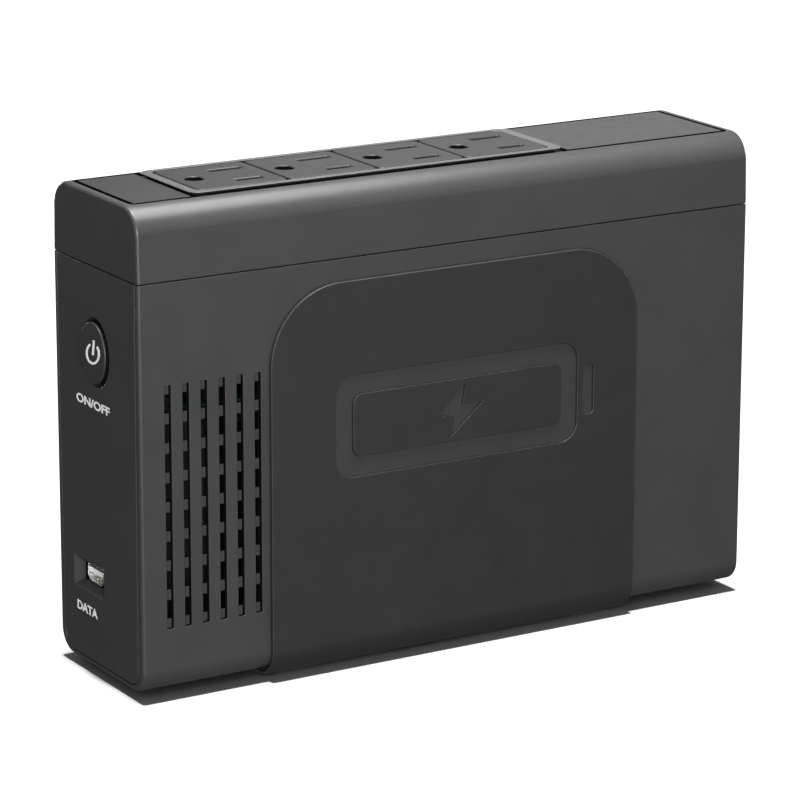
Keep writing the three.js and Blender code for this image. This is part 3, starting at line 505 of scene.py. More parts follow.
MATERIALS = {
    "case_plastic": moulded("case_plastic", (0.032, 0.032, 0.033), roughness=0.36),
    "saddle_plastic": moulded("saddle_plastic", (0.0155, 0.0155, 0.016), roughness=0.5),
    # smoother than the saddle's plastic, and lighter: the lighter colour is painted sheen
    "sign_plastic_painted_sheen": moulded("sign_plastic_painted_sheen", (0.026, 0.026, 0.027), roughness=0.45, grain_depth=0.001),
    "plate_plastic": moulded("plate_plastic", (0.02, 0.02, 0.021), roughness=0.35, grain_depth=0.002),
    "outlet_plastic": moulded("outlet_plastic", (0.018, 0.018, 0.019), roughness=0.4, grain_depth=0.002),
    "button_plastic": moulded("button_plastic", (0.028, 0.028, 0.029), roughness=0.42, grain_depth=0.002),
    "black_plastic": moulded("black_plastic", (0.012, 0.012, 0.013), roughness=0.45),
    # painted shade: matt black that stands in for the shadow deep in grooves, gaps and slots
    "painted_shade_black": moulded("painted_shade_black", (0.003, 0.003, 0.003), roughness=0.8, specular=0.05),
    "white_plastic": moulded("white_plastic", (0.88, 0.87, 0.84), roughness=0.4),
    "battery_plastic": moulded("battery_plastic", (0.008, 0.009, 0.011), roughness=0.55, grain_mm=0.5),
    "lead_red": moulded("lead_red", (0.42, 0.02, 0.015), roughness=0.42),
    "lead_black": moulded("lead_black", (0.012, 0.012, 0.012), roughness=0.42),
    "capacitor_sleeve": moulded("capacitor_sleeve", (0.015, 0.045, 0.13), roughness=0.3),
    "foot_rubber": rubber("foot_rubber", (0.012, 0.012, 0.012)),
    "gland_rubber": rubber("gland_rubber", (0.014, 0.014, 0.014)),
    "screw_steel": metal("screw_steel", (0.6, 0.6, 0.62), roughness=0.32),
    "port_steel": metal("port_steel", (0.9, 0.9, 0.91), roughness=0.38, brushed=(1, 8, 8)),
    "contact_brass": metal("contact_brass", (0.78, 0.58, 0.26), roughness=0.3, brushed=(1, 8, 8)),
    "sink_aluminium": metal("sink_aluminium", (0.03, 0.03, 0.032), roughness=0.5, brushed=(8, 8, 1)),
    "core_steel": banded("core_steel", (0.3, 0.3, 0.32), (0.12, 0.12, 0.13), 0.5, "X"),
    "winding_copper": banded("winding_copper", (0.62, 0.26, 0.12), (0.3, 0.1, 0.05), 0.6, "Y"),
    "board_green": circuit_board("board_green"),
    "fuse_glass": glass("fuse_glass", (0.7, 0.74, 0.75)),
}
INK = printed_ink("printed_ink")
BEZEL = moulded("bezel_plastic", (0.055, 0.055, 0.056), roughness=0.36, grain_depth=0.002)


# ---- Finishing pieces ----
SHARP_ANGLE = math.radians(40)


def piece(name, body, body_name, slot, *nodes, material=None):
    """Cleans the solid, turns it into metres, and ties it to the frame."""
    bm = bmesh.new()
    bm.from_mesh(body.data)
    bmesh.ops.remove_doubles(bm, verts=bm.verts, dist=WELD)
    bmesh.ops.dissolve_limit(bm, angle_limit=FLAT_ANGLE, verts=bm.verts, edges=bm.edges)
    bm.to_mesh(body.data)
    bm.free()
    body.data.transform(Matrix.Scale(MM, 4))
    body.name = name
    body.data.name = name
    body.data.shade_smooth()
    body.data.set_sharp_from_angle(angle=SHARP_ANGLE)
    body.data.materials.clear()
    body.data.materials.append(material or MATERIALS[slot])
    weights = body.modifiers.new("even_shading", "WEIGHTED_NORMAL")
    weights.keep_sharp = True
    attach(body, body_name)
    if nodes:
        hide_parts(*nodes)
    return body


# ---- Lower housing ----
END_PANEL = {"r": 4.3, "half_low": 19.9}  # its lower corners, and half its width above them


def end_outline(top, growth=0.0):
    """The opening at each end of the housing, and the panel in it."""
    low, radius = PANEL_LOW.z, END_PANEL["r"]
    half_low, half_high = END_PANEL["half_low"], PANEL_HIGH.y
    lean = (half_high - half_low) / (PANEL_HIGH.z - low - radius)
    half_top = half_low + lean * (top - low - radius)
    points = arc(half_low - radius, low + radius, radius, -90, 0)
    points += [(half_top, top), (-half_top, top)]
    points += arc(-half_low + radius, low + radius, radius, 180, 270)
    return grown(points, growth)


def grille_tools(side):
    """Upright slots through the outer skin that cross level slots through the inner half."""
    surface = side * HALF_D
    skin = side * (HALF_D - VENT_RIB["skin"])
    inside = side * (INNER_Y - PAST)
    half = VENT["width"] / 2
    low, high = BASE_Z + VENT["low"], BASE_Z + VENT["high"]
    tools = []
    for i in range(VENT["columns"]):
        x = VENT["first_x"] + i * VENT["pitch"]
        slot = round_rect(x - half, x + half, low, high, VENT_R, steps=2)
        tools.append(cutter(slot, "y", skin, surface, VENT_FLARE))
    x0 = VENT["first_x"] - half
    x1 = x0 + (VENT["columns"] - 1) * VENT["pitch"] + VENT["width"]
    meet = 0.05  # how far the two layers of slots reach into each other
    rise = VENT_RIB["height"] / 2
    for i in range(VENT_RIB["rows"]):
        middle = BASE_Z + VENT_RIB["middle"] + (i - (VENT_RIB["rows"] - 1) / 2) * VENT_RIB["pitch"]
        tools.append(block(x0, x1, inside, skin + side * meet, middle - rise, middle + rise))
    return tools


BORE_R = 1.8  # round the screws
BOSS = {"r": 3.2, "depth": 16, "web_half": 1, "web_top": 4, "bore_depth": 14}
LEDGE = {"x": (-50, 62), "half": 3, "inner_y": 15.6, "depth": 6}  # supports under the main board
LEDGE_BORE = {"y": 17, "r": 1.5, "depth": 5}
PADS = {"transformer_screw": {"r": 3.6, "height": 2}, "saddle_screw": {"r": 3.2, "height": 1}}
PAD_BORE = 5  # above the floor
WINDOW_RISE = 1.6  # of the openings behind the raised panel, over the battery


def housing_inside():
    """Bosses on webs under the cover screws, ledges under the board and pads on the floor."""
    wall = INNER_Y + OVERLAP
    low = SEAM_LOW - BOSS["depth"]
    added = []
    for x, y in places_of("cover_screw", 4):
        side = math.copysign(1, y)
        half = BOSS["web_half"]
        added.append(rod("z", (x, y), BOSS["r"], low, SEAM_LOW))
        added.append(block(x - half, x + half, y, side * wall, low, SEAM_LOW - BOSS["web_top"]))
    low, high, half = BOARD_LOW.z - LEDGE["depth"], BOARD_LOW.z - GAP, LEDGE["half"]
    for x in LEDGE["x"]:
        for side in SIDES:
            added.append(block(x - half, x + half, side * LEDGE["inner_y"], side * wall, low, high))
    for name, pad in PADS.items():
        for at in places_of(name, 2):
            added.append(rod("z", at, pad["r"], FLOOR_Z - OVERLAP, FLOOR_Z + pad["height"]))
    return added


def housing_bores():
    bores = []
    for at in places_of("cover_screw", 4):
        bores.append(rod("z", at, BORE_R, SEAM_LOW - BOSS["bore_depth"], SEAM_LOW + PAST))
    for name in PADS:
        for at in places_of(name, 2):
            bores.append(rod("z", at, BORE_R, BASE_Z - PAST, FLOOR_Z + PAD_BORE))
    for x in LEDGE["x"]:
        for side in SIDES:
            at = (x, side * LEDGE_BORE["y"])
            bores.append(rod("z", at, LEDGE_BORE["r"], BOARD_LOW.z - LEDGE_BORE["depth"], BOARD_LOW.z))
    return bores


def housing():
    """A tub. Both solids run up past the seam, and are cut off there with their upper corners."""
    above, hollow_above, higher = SEAM_LOW + 10, SEAM_LOW + 20, SEAM_LOW + 30
    section = round_rect(-HALF_D, HALF_D, BASE_Z, above, BASE_EDGE_R, 2.5, steps=14)
    hollow = round_rect(-INNER_Y, INNER_Y, FLOOR_Z, hollow_above, BASE_EDGE_R - WALL, 1)
    window, window_top = BATTERY_HIGH.x + PAST, BATTERY_HIGH.z + WINDOW_RISE
    wide_l, wide_d = HALF_L + PAST, HALF_D + PAST
    end_hole = end_outline(SEAM_LOW + 5, GAP)
    body = slab(section, "x", -HALF_L, HALF_L, END_ROLL, END_ROLL, steps=8)
    body = cut(body, slab(hollow, "x", -wide_l, wide_l))
    body = join(body, *housing_inside())
    body = cut(
        body,
        *housing_bores(),
        cutter(end_hole, "x", -PANEL_IN_X + GAP, -HALF_L, RIM_R),
        cutter(end_hole, "x", PANEL_IN_X - GAP, HALF_L, RIM_R),
        block(-window, window, -wide_d, wide_d, FLOOR_Z, window_top),
        block(-wide_l, wide_l, -wide_d, wide_d, SEAM_LOW, higher),
        *grille_tools(-1),
        *grille_tools(1),
    )
    return soften(body, SEAM_R, lambda edge: on_seam(edge, SEAM_LOW))


CORNER_REACH = (0.7, 2.6)  # how near to the outside a seam's corners are, along X and Y
WALL_REACH = (1, 2.3)  # the same for the middles of the outer walls


def near_outside(at, reach):
    return abs(at.x) > HALF_L - reach[0] or abs(at.y) > HALF_D - reach[1]


def is_outer_wall(face):
    """Whether a face is on the outside and points out of the case."""
    middle = face.calc_center_median()
    flat = Vector((face.normal.x, face.normal.y))
    faces_out = flat.length > 0.5 and flat.dot(Vector((middle.x, middle.y))) > 0
    return faces_out and near_outside(middle, WALL_REACH)


def on_seam(edge, z):
    """Whether an edge is part of the outer line where housing and cover meet."""
    corners = [vertex.co for vertex in edge.verts]
    level = all(abs(at.z - z) < 0.01 and near_outside(at, CORNER_REACH) for at in corners)
    return level and any(is_outer_wall(face) for face in edge.link_faces)


# ---- Top cover ----
def cover_section(inset, top, radius):
    half_low = HALF_D - inset
    half_high = HALF_D - COVER_DRAFT - inset
    low = SEAM_HIGH - 5
    points = [(-half_low, low), (half_low, low), (half_low, SEAM_HIGH)]
    points += arc(half_high - radius, top - radius, radius, 0, 90, steps=20)
    points += arc(-half_high + radius, top - radius, radius, 90, 180, steps=20)
    points.append((-half_low, SEAM_HIGH))
    return points


def outlet_well():
    """The opening that the four outlets stand in. Its groove is hardly open at the +X end."""
    x0, x1 = OUTLET_BOXES[0][0].x - GROOVE, OUTLET_BOXES[-1][1].x + CLOSED_GROOVE
    half = OUTLET_BOXES[0][1].y + GROOVE
    return round_rect(x0, x1, -half, half, OUTLET_R + GROOVE)


def plate_outline(growth=0.0):
    x, y = PLATE_HIGH.x + growth, PLATE_HIGH.y + growth
    return round_rect(-x, x, -y, y, PLATE_R + growth)


COLUMN = {"r": 4, "head_r": 3.1, "head_height": 1.8}  # round each cover screw
LIP = {"half_l": 76, "thick": 1.1, "down": 3.4, "up": 1.6}  # inside the seam, along both wide faces
COVER_WALL = WALL - 0.2


def cover():
    inset = COVER_WALL
    under_deck = DECK_Z - DECK_THICK
    body = slab(cover_section(0, TOP_Z, COVER_EDGE_R), "x", -HALF_L, HALF_L, END_ROLL, END_ROLL, steps=8)
    inside = cover_section(inset, under_deck, COVER_EDGE_R - inset)
    body = cut(
        body,
        slab(inside, "x", -HALF_L + inset, HALF_L - inset),
        cutter(plate_outline(PLATE_GROOVE), "z", DECK_Z, TOP_Z, PLATE_EDGE),
        slab(outlet_well(), "z", SEAM_LOW, TOP_Z + PAST),
        block(-HALF_L - PAST, HALF_L + PAST, -HALF_D - PAST, HALF_D + PAST, SEAM_HIGH - 10, SEAM_HIGH),
    )
    columns, bores = [], []
    for i in range(1, 5):
        low, high = box_mm(f"cover_screw_{i}")
        at = ((low.x + high.x) / 2, (low.y + high.y) / 2)
        seat = high.z - COLUMN["head_height"] - GAP
        columns.append(rod("z", at, COLUMN["r"], SEAM_HIGH, under_deck + OVERLAP))
        bores.append(rod("z", at, BORE_R, SEAM_HIGH - PAST, TOP_Z))
        bores.append(rod("z", at, COLUMN["head_r"], seat, TOP_Z))
    half_l, lip_y = LIP["half_l"], INNER_Y - GAP
    thin_y, wall_y = lip_y - LIP["thick"], INNER_Y + 0.6  # wall_y is inside the cover's wall
    low, high = SEAM_HIGH - LIP["down"], SEAM_HIGH + LIP["up"]
    for side in SIDES:
        columns.append(block(-half_l, half_l, side * thin_y, side * lip_y, low, high))
        columns.append(block(-half_l, half_l, side * thin_y, side * wall_y, SEAM_HIGH, high))
    body = cut(join(body, *columns), *bores)
    return soften(body, SEAM_R, lambda edge: on_seam(edge, SEAM_HIGH))


# ---- End panels ----
def front_panel():
    body = slab(end_outline(SEAM_LOW), "x", -PANEL_IN_X, -HALF_L, 0, RIM_R)
    hole = ellipse(KEY["y"], KEY["z"], KEY["hole_r"] * KEY["oval"], KEY["hole_r"])
    y, z, bevel = PORT["y"], PORT["z"], PORT["bevel"]
    half_w, half_h = PORT["width"] / 2, PORT["height"] / 2
    recess = round_rect(y - half_w, y + half_w, z - half_h, z + half_h, 0)
    throat = grown(recess, -bevel)
    stations = [(-HALF_L - PAST, grown(recess, PAST)), (-HALF_L + bevel, throat)]
    port_hole = loft([*stations, (-PANEL_IN_X + PAST, throat)], "x")
    return cut(body, cutter(hole, "x", -PANEL_IN_X + PAST, -HALF_L, KEY["hole_flare"]), port_hole)


REAR_HOLES = (
    {"at": GLAND, "seat_r": 9.3, "through_r": 6.5, "depth": 1.0},
    {"at": BREAKER, "seat_r": 8.3, "through_r": 5.3, "depth": 1.4},
)
REAR_FLARE = 0.2


def rear_panel():
    body = slab(end_outline(SEAM_LOW), "x", PANEL_IN_X, HALF_L, 0, RIM_R)
    holes = []
    for hole in REAR_HOLES:
        seat = ellipse(*hole["at"], hole["seat_r"], hole["seat_r"])
        holes.append(cutter(seat, "x", HALF_L - hole["depth"], HALF_L, REAR_FLARE))
        holes.append(rod("x", hole["at"], hole["through_r"], PANEL_IN_X - PAST, HALF_L))
    return cut(body, *holes)


# ---- Saddle panel, feet and their screws ----
SIGN = {
    "half_l": 36,
    "half_h": 13.2,
    "line": 5,
    "nub": 3.4,
    "space": 1.6,  # between the battery's outline and its nub or bolt
    "r": 5,
    "z": BASE_Z + 61.4,
    "depth": 0.8,
    "rim": 0.25,
}
BOLT = [(2, 1), (-7, -0.18), (-1.2, -0.18), (-2, -1), (7, 0.18), (1.2, 0.18)]  # (mm, share of its height)
SADDLE_R = 20
SADDLE_RIM = {"skin": 0.7, "undercut": 1.2, "edge": 0.3}


def sign_tools(surface):
    """A battery with a charging bolt, sunk into the wide face."""
    half_l, half_h, line, z = SIGN["half_l"], SIGN["half_h"], SIGN["line"], SIGN["z"]
    floor, rim = surface + SIGN["depth"], SIGN["rim"]
    outer = round_rect(-half_l, half_l, z - half_h, z + half_h, SIGN["r"])
    inner_l, inner_h = half_l - line, half_h - line
    inner = round_rect(-inner_l, inner_l, z - inner_h, z + inner_h, SIGN["r"] / 2)
    ring = cut(cutter(outer, "y", floor, surface, rim), cutter(inner, "y", floor + PAST, surface, -rim))
    nub_from = half_l + SIGN["space"]
    nub = round_rect(nub_from, nub_from + SIGN["nub"], z - half_h / 2, z + half_h / 2, 1)
    reach = inner_h - SIGN["space"]
    bolt = [(dx, z + dz * reach) for dx, dz in BOLT]
    return [ring, cutter(nub, "y", floor, surface, rim), cutter(bolt, "y", floor, surface, rim)]


def saddle_section(out):
    """The panel's section at a distance out from the case."""
    half = HALF_D + out
    return round_rect(-half, half, BASE_Z - out, TOP_Z, BASE_EDGE_R + out, 0, steps=14)


def saddle_block(out, inset):
    """A solid out to that distance, cut to the panel's outline on the wide faces."""
    width, top, deep = SADDLE_HIGH.x - inset, SADDLE_HIGH.z - inset, SADDLE_HIGH.y + PAST
    face = round_rect(-width, width, SADDLE_LOW.z - PAST, top, 0, SADDLE_R - inset, steps=20)
    return common(slab(saddle_section(out), "x", -width, width), slab(face, "y", -deep, deep))


FOOT_R = 3
HEAD_SEAT = {"wide_r": 4.1, "r": 3.6}  # for the head of a saddle screw


def saddle():
    """A thin skin with a free edge, on a thicker layer that stands back from that edge."""
    proud = SADDLE_HIGH.y - HALF_D
    skin = proud - SADDLE_RIM["skin"]
    length = SADDLE_HIGH.x + PAST
    body = saddle_block(proud, 0)
    body = soften(body, SADDLE_RIM["edge"], lambda edge: edge.calc_face_angle(0) > SOFT_ANGLE)
    body = cut(body, slab(saddle_section(skin), "x", -length, length))
    body = join(body, saddle_block(skin + 0.2, SADDLE_RIM["undercut"]))
    low = SADDLE_LOW.z
    feet = []
    for name in ("foot_front", "foot_rear"):
        foot_low, foot_high = box_mm(name)
        x0, x1 = foot_low.x - GAP, foot_high.x + GAP
        outline = round_rect(x0, x1, foot_low.y - GAP, foot_high.y + GAP, FOOT_R + GAP)
        feet.append(slab(outline, "z", low - PAST, foot_high.z + GAP))
    screws = []
    below, above = low - PAST, BASE_Z + PAST
    seat = [(0, below), (HEAD_SEAT["wide_r"], below), (HEAD_SEAT["r"], low), (BORE_R, BASE_Z)]
    seat += [(BORE_R, above), (0, above)]
    for at in places_of("saddle_screw", 2):
        screws.append(turned(seat, "z", at))
    inside = slab(saddle_section(GAP), "x", -length, length)
    return cut(body, inside, *feet, *screws, *sign_tools(SADDLE_LOW.y))


SADDLE_SCREW = {"head_r": 2.7, "edge": 0.15, "shaft_r": 1.5}
CROSS = {"arm": 1.5, "half": 0.3, "depth": 1.0}  # the recess for the driver


def saddle_screw(i):
    low, high = box_mm(f"saddle_screw_{i}")
    x, y = (low.x + high.x) / 2, (low.y + high.y) / 2
    head, edge, shaft = SADDLE_SCREW["head_r"], SADDLE_SCREW["edge"], SADDLE_SCREW["shaft_r"]
    profile = [(0, low.z), (head - edge, low.z), (head, low.z + edge), (shaft, BASE_Z - GAP)]
    profile += [(shaft, high.z), (0, high.z)]
    body = turned(profile, "z", (x, y))
    arm, half, bottom, top = CROSS["arm"], CROSS["half"], low.z - PAST, low.z + CROSS["depth"]
    cross = join(
        block(x - arm, x + arm, y - half, y + half, bottom, top),
        block(x - half, x + half, y - arm, y + arm, bottom, top),
    )
    return cut(body, cross)


# ---- Top plate, bezel and outlets ----
def neck_outline(growth=0.0):
    inset = NECK["inset"] - growth
    half = BEZEL_HIGH.y - inset
    return round_rect(BEZEL_LOW.x + inset, BEZEL_HIGH.x - inset, -half, half, NECK["r"] + growth)


def top_plate():
    body = slab(plate_outline(-PLATE_INSET), "z", PLATE_LOW.z, PLATE_HIGH.z, 0, PLATE_EDGE)
    margin = CHANNEL["margin"]
    x0, x1 = BEZEL_LOW.x - margin, BEZEL_HIGH.x + margin
    channel = block(x0, x1, -HALF_D, HALF_D, TOP_Z - CHANNEL["depth"], TOP_Z + PAST)
    return cut(body, channel, slab(neck_outline(GAP), "z", PLATE_LOW.z - PAST, PLATE_HIGH.z + PAST))


def bezel():
    """A flange with an undercut edge, on the neck that it stands on."""
    half, top = BEZEL_HIGH.y, BEZEL_HIGH.z
    outline = round_rect(BEZEL_LOW.x, BEZEL_HIGH.x, -half, half, BEZEL_R)
    stations = [(TOP_Z - FLANGE["under"], -FLANGE["undercut"])]
    stations += [(top + drop, growth) for drop, growth in FLANGE_TURN]
    stations += edge_stations(TOP_Z, top, 0, FLANGE["edge"])[2:]
    flange = loft([(z, grown(outline, growth)) for z, growth in stations], "z")
    body = join(flange, slab(neck_outline(), "z", BEZEL_LOW.z, top - 0.1))
    return cut(body, cutter(outlet_well(), "z", BEZEL_LOW.z - PAST, top, FLANGE["flare"]))


# Across from an outlet's middle: the blades' slots (y and length), and the earth pin's flattened hole.
BLADES = ((6.35, 9), (-6.35, 7.3))
SLOT = {"x": 4.6, "half": 1.1, "r": 0.15, "flare": 0.55}
PIN = {"x": -7.3, "r": 2.6, "flat": 2.1, "flare": 0.3}
CHAMBER = {"from": -0.3, "to": 9.5, "half": 2.2, "r": 3.6, "roof": 3}  # wider, for the brass leaves


def outlet(low, high):
    x = (low.x + high.x) / 2
    body = slab(round_rect(low.x, high.x, low.y, high.y, OUTLET_R), "z", low.z, high.z, 0, OUTLET_EDGE)
    tools = []
    below, chamber_top = low.z - PAST, high.z - CHAMBER["roof"]
    slot_x, half, wide = x + SLOT["x"], SLOT["half"], CHAMBER["half"]
    for y, length in BLADES:
        ends = (slot_x - length / 2, slot_x + length / 2)
        slot = round_rect(*ends, y - half, y + half, SLOT["r"], steps=2)
        tools.append(cutter(slot, "z", below, high.z, SLOT["flare"]))
        ends = (x + CHAMBER["from"], x + CHAMBER["to"])
        tools.append(block(*ends, y - wide, y + wide, below, chamber_top))
    pin_x = x + PIN["x"]
    turn = math.degrees(math.acos(PIN["flat"] / PIN["r"]))
    pin = arc(pin_x, 0, PIN["r"], turn, 360 - turn, steps=32)
    tools.append(cutter(pin, "z", below, high.z, PIN["flare"]))
    tools.append(rod("z", (pin_x, 0), CHAMBER["r"], below, chamber_top))
    return cut(body, *tools)


# ---- Power button ----
# Its face sags towards the rim, and rounds over at the shoulder into drafted sides.
DOME = {"sag": 0.12, "shoulder": 0.3, "draft": 0.05}


def dome_place(radius):
    """Where the button's face is at a distance from its middle: almost flat, with a rounded edge."""
    sag, shoulder = DOME["sag"], DOME["shoulder"]
    flat_r = KEY["r"] - shoulder
    if radius <= flat_r:
        return KEY_LOW.x + sag * (radius / flat_r) ** 2
    across = min((radius - flat_r) / shoulder, 1)
    return KEY_LOW.x + sag + shoulder * (1 - math.sqrt(1 - across**2)) + DOME["draft"] * across


def power_button():
    edge, shoulder = KEY["r"], DOME["shoulder"]
    radii = [(edge - shoulder) * i / 20 for i in range(21)]
    radii += [edge - shoulder * math.cos(math.radians(9 * i)) for i in range(1, 11)]
    face = [(radius, dome_place(radius)) for radius in radii]
    back = -PANEL_IN_X + GAP
    flange_r, stub_r, flange_back = KEY["flange_r"], KEY["stub_r"], back + 1
    flange = [(edge, back), (flange_r, back), (flange_r, flange_back)]
    stub = [(stub_r, flange_back), (stub_r, KEY_HIGH.x), (0, KEY_HIGH.x)]
    return turned(face + flange + stub, "x", (KEY["y"], KEY["z"]), steps=96, oval=KEY["oval"])


# The standby sign, drawn as seen from the -X side: right is -Y. Its ring leans up to the right.
RING = {"outer": (3.82, 2.75), "inner": (2.8, 2.17), "lean": 0.19, "gap": (46, 113)}
BAR = {"low": (0.05, -0.3), "high": (0.72, 3.5), "half": 0.5}
SYMBOL_AT = (0.6, 0)  # its middle, across and up from the button's


def standby_symbol():
    """A ring that is open at the top, and a bar through the opening."""
    first, last = RING["gap"]

    def sweep(size, start, end):
        wide, tall = size
        turn = arc(0, 0, 1, start, end, 48)
        return [(wide * u, tall * v + RING["lean"] * wide * u) for u, v in turn]

    ring = sweep(RING["outer"], last, 360 + first) + sweep(RING["inner"], 360 + first, last)
    (low_u, low_v), (high_u, high_v), half = BAR["low"], BAR["high"], BAR["half"]
    bar = [(low_u - half, low_v), (low_u + half, low_v), (high_u + half, high_v), (high_u - half, high_v)]
    parts = []
    for outline in (ring, bar):
        placed = [(KEY["y"] - SYMBOL_AT[0] - u, KEY["z"] + SYMBOL_AT[1] + v) for u, v in outline]
        parts.append(slab(placed[::-1], "x", -INK_DEPTH, 0.2))
    body = join(*parts)
    for vertex in body.data.vertices:
        across = math.hypot((vertex.co.y - KEY["y"]) / KEY["oval"], vertex.co.z - KEY["z"])
        vertex.co.x += dome_place(across)
    return body


# ---- Data port ----
def port_outline(inset):
    """A flat tube's section with its two lower corners cut off, inset all round."""
    half_w = (SHELL_HIGH.y - SHELL_LOW.y) / 2 - inset
    half_h = (SHELL_HIGH.z - SHELL_LOW.z) / 2 - inset
    notch = PORT["notch"] - inset * (2 - math.sqrt(2))
    radius = max(PORT["r"] - inset, 0.05)
    y, z = PORT["y"], PORT["z"]
    points = [
        (y - half_w + notch, z - half_h),
        (y + half_w - notch, z - half_h),
        (y + half_w, z - half_h + notch),
    ]
    points += arc(y + half_w - radius, z + half_h - radius, radius, 0, 90, steps=5)
    points += arc(y - half_w + radius, z + half_h - radius, radius, 90, 180, steps=5)
    points.append((y - half_w, z - half_h + notch))
    return points


def port_shell():
    front, back, wall = SHELL_LOW.x, SHELL_HIGH.x, PORT["wall"]
    stations = [(front - 0.5, 0.15), (front + 0.3, wall), (back + PAST, wall)]
    inside = loft([(place, port_outline(inset)) for place, inset in stations], "x")
    return cut(slab(port_outline(0), "x", front, back, 0.1, 0), inside)


TONGUE = {"half": 3.75, "low": -0.1, "high": 1.55, "r": 0.3, "base": 1.6}  # low, high: from the middle


def port_tongue():
    low, high = box_mm("port_tongue")
    y, z = PORT["y"], PORT["z"]
    base = slab(port_outline(PORT["wall"] + GAP), "x", high.x - TONGUE["base"], high.x)
    half = TONGUE["half"]
    outline = round_rect(y - half, y + half, z + TONGUE["low"], z + TONGUE["high"], 0.05, TONGUE["r"])
    blade = slab(outline, "x", low.x, high.x - 1, 0.1, 0)
    return join(base, blade)


def port_contacts():
    """Thin strips on the underside of the tongue."""
    low, high = box_mm("port_tongue")
    strips = []
    half, z = PORT["contact_half"], PORT["z"]
    for i in range(PORT["contacts"]):
        y = PORT["y"] + (i - (PORT["contacts"] - 1) / 2) * PORT["contact_pitch"]
        outline = round_rect(y - half, y + half, z - half, z, 0.05, steps=2)
        strips.append(slab(outline, "x", low.x + 0.2, high.x - TONGUE["base"]))
    return join(*strips)


# ---- Cord gland and breaker ----
GLAND_R = {"hole": 4.2, "neck": 6.2, "flange": 9, "rim": 0.5, "mouth": 0.8}  # rim and mouth: roundings
BARB = {"height": 0.9, "length": 0.8}


def cord_gland():
    hole, neck, flange = GLAND_R["hole"], GLAND_R["neck"], GLAND_R["flange"]
    face, back = GLAND_HIGH.x, GLAND_LOW.x
    seat, snap = HALF_L - REAR_HOLES[0]["depth"] + GAP, PANEL_IN_X - GAP
    rim_r, mouth_r = GLAND_R["rim"], GLAND_R["mouth"]
    turn = [math.pi / 2 * i / 6 for i in range(7)]
    rim = [(flange - rim_r + rim_r * math.cos(a), face - rim_r + rim_r * math.sin(a)) for a in turn]
    mouth = [(hole + mouth_r - mouth_r * math.sin(a), face - mouth_r + mouth_r * math.cos(a)) for a in turn]
    crest = neck + BARB["height"]
    barb = [(neck, back), (crest, snap - BARB["length"]), (crest, snap), (neck, snap)]
    profile = [(hole, back), *barb, (neck, seat), (flange, seat), *rim, *mouth, (hole, back)]
    return turned(profile, "x", GLAND)


NUT = {"r": 8, "bore_r": 5.3, "chamfer": 0.7, "chamfer_r": 7.0, "clear": 0.1}
TRIP = {"r": 3.2, "edge": 0.5}


def breaker_nut():
    """A hexagon whose corners are cut back by a turned chamfer."""
    low, high = NUT_LOW.x, NUT_HIGH.x
    wide, over = NUT["r"] + NUT["clear"], high + 0.05
    rounding = [(wide, low - PAST), (wide, high - NUT["chamfer"]), (NUT["chamfer_r"], over)]
    envelope = turned([(0, low - PAST), *rounding, (0, over)], "x", BREAKER)
    hexagon = ellipse(*BREAKER, NUT["r"], NUT["r"], steps=6)
    body = common(slab(hexagon, "x", low, high), envelope)
    return cut(body, rod("x", BREAKER, NUT["bore_r"], low - PAST, high + PAST))


def breaker_button():
    return rod("x", BREAKER, TRIP["r"], TRIP_LOW.x, TRIP_HIGH.x, edge=TRIP["edge"])


# ---- Printing on the front panel ----
def label(text, y0, y1, z0, z1):
    """Raised ink between y0 and y1 across and z0 and z1 up, read from the -X side."""
    curve = bpy.data.curves.new("label", "FONT")
    curve.body = text
    curve.size = 1
    curve.offset = 0.03
    curve.extrude = 0.5
    curve.resolution_u = 6
    maker = add_object("label", curve)
    bpy.context.view_layer.update()
    graph = bpy.context.evaluated_depsgraph_get()
    mesh = bpy.data.meshes.new_from_object(maker.evaluated_get(graph))
    bpy.data.objects.remove(maker)
    bpy.data.curves.remove(curve)
    low = Vector([min(v.co[i] for v in mesh.vertices) for i in range(3)])
    high = Vector([max(v.co[i] for v in mesh.vertices) for i in range(3)])
    for vertex in mesh.vertices:
        u, v, w = ((vertex.co[i] - low[i]) / (high[i] - low[i]) for i in range(3))
        vertex.co = (-HALF_L + INK_SUNK - INK_DEPTH * w, y1 + (y0 - y1) * u, z0 + (z1 - z0) * v)
    return add_object("label", mesh)


# ---- Second materials, on some faces of a piece, mostly painted black shade on the walls of grooves and gaps ----
RIM_DEPTH = 0.15  # how far a groove's rim keeps the piece's own material
SIDE_WALL = 0.8  # a normal's part along Z, below which a face is a wall


def paint(body, slot, wanted):
    """Gives a second material to the faces for which wanted(normal, place in millimetres) is true."""
    body.data.materials.append(MATERIALS[slot])
    for face in body.data.polygons:
        if wanted(face.normal, face.center / MM):
            face.material_index = 1


def paint_shade_below(body, z):
    """Paints matt black shade on the walls of a groove below the height z, for the shadow in its depth."""
    paint(body, "painted_shade_black", lambda normal, at: abs(normal.z) < SIDE_WALL and at.z < z)


def paint_pocket_shade(body):
    """Paints the same black shade on the walls of the pocket that the top plate lies in."""
    margin = PLATE_GROOVE + 0.2

    def wanted(normal, at):
        over_deck = DECK_Z - 0.1 < at.z < TOP_Z - RIM_DEPTH
        inside = abs(at.x) < PLATE_HIGH.x + margin and abs(at.y) < PLATE_HIGH.y + margin
        return abs(normal.z) < SIDE_WALL and over_deck and inside

    paint(body, "painted_shade_black", wanted)


def paint_button_side_shade(body):
    """Paints black shade on the button's sides, for the shadow in the gap round it."""
    shoulder = KEY_LOW.x + DOME["sag"] + DOME["shoulder"]
    paint(body, "painted_shade_black", lambda normal, at: abs(normal.x) < 0.5 and at.x > shoulder)


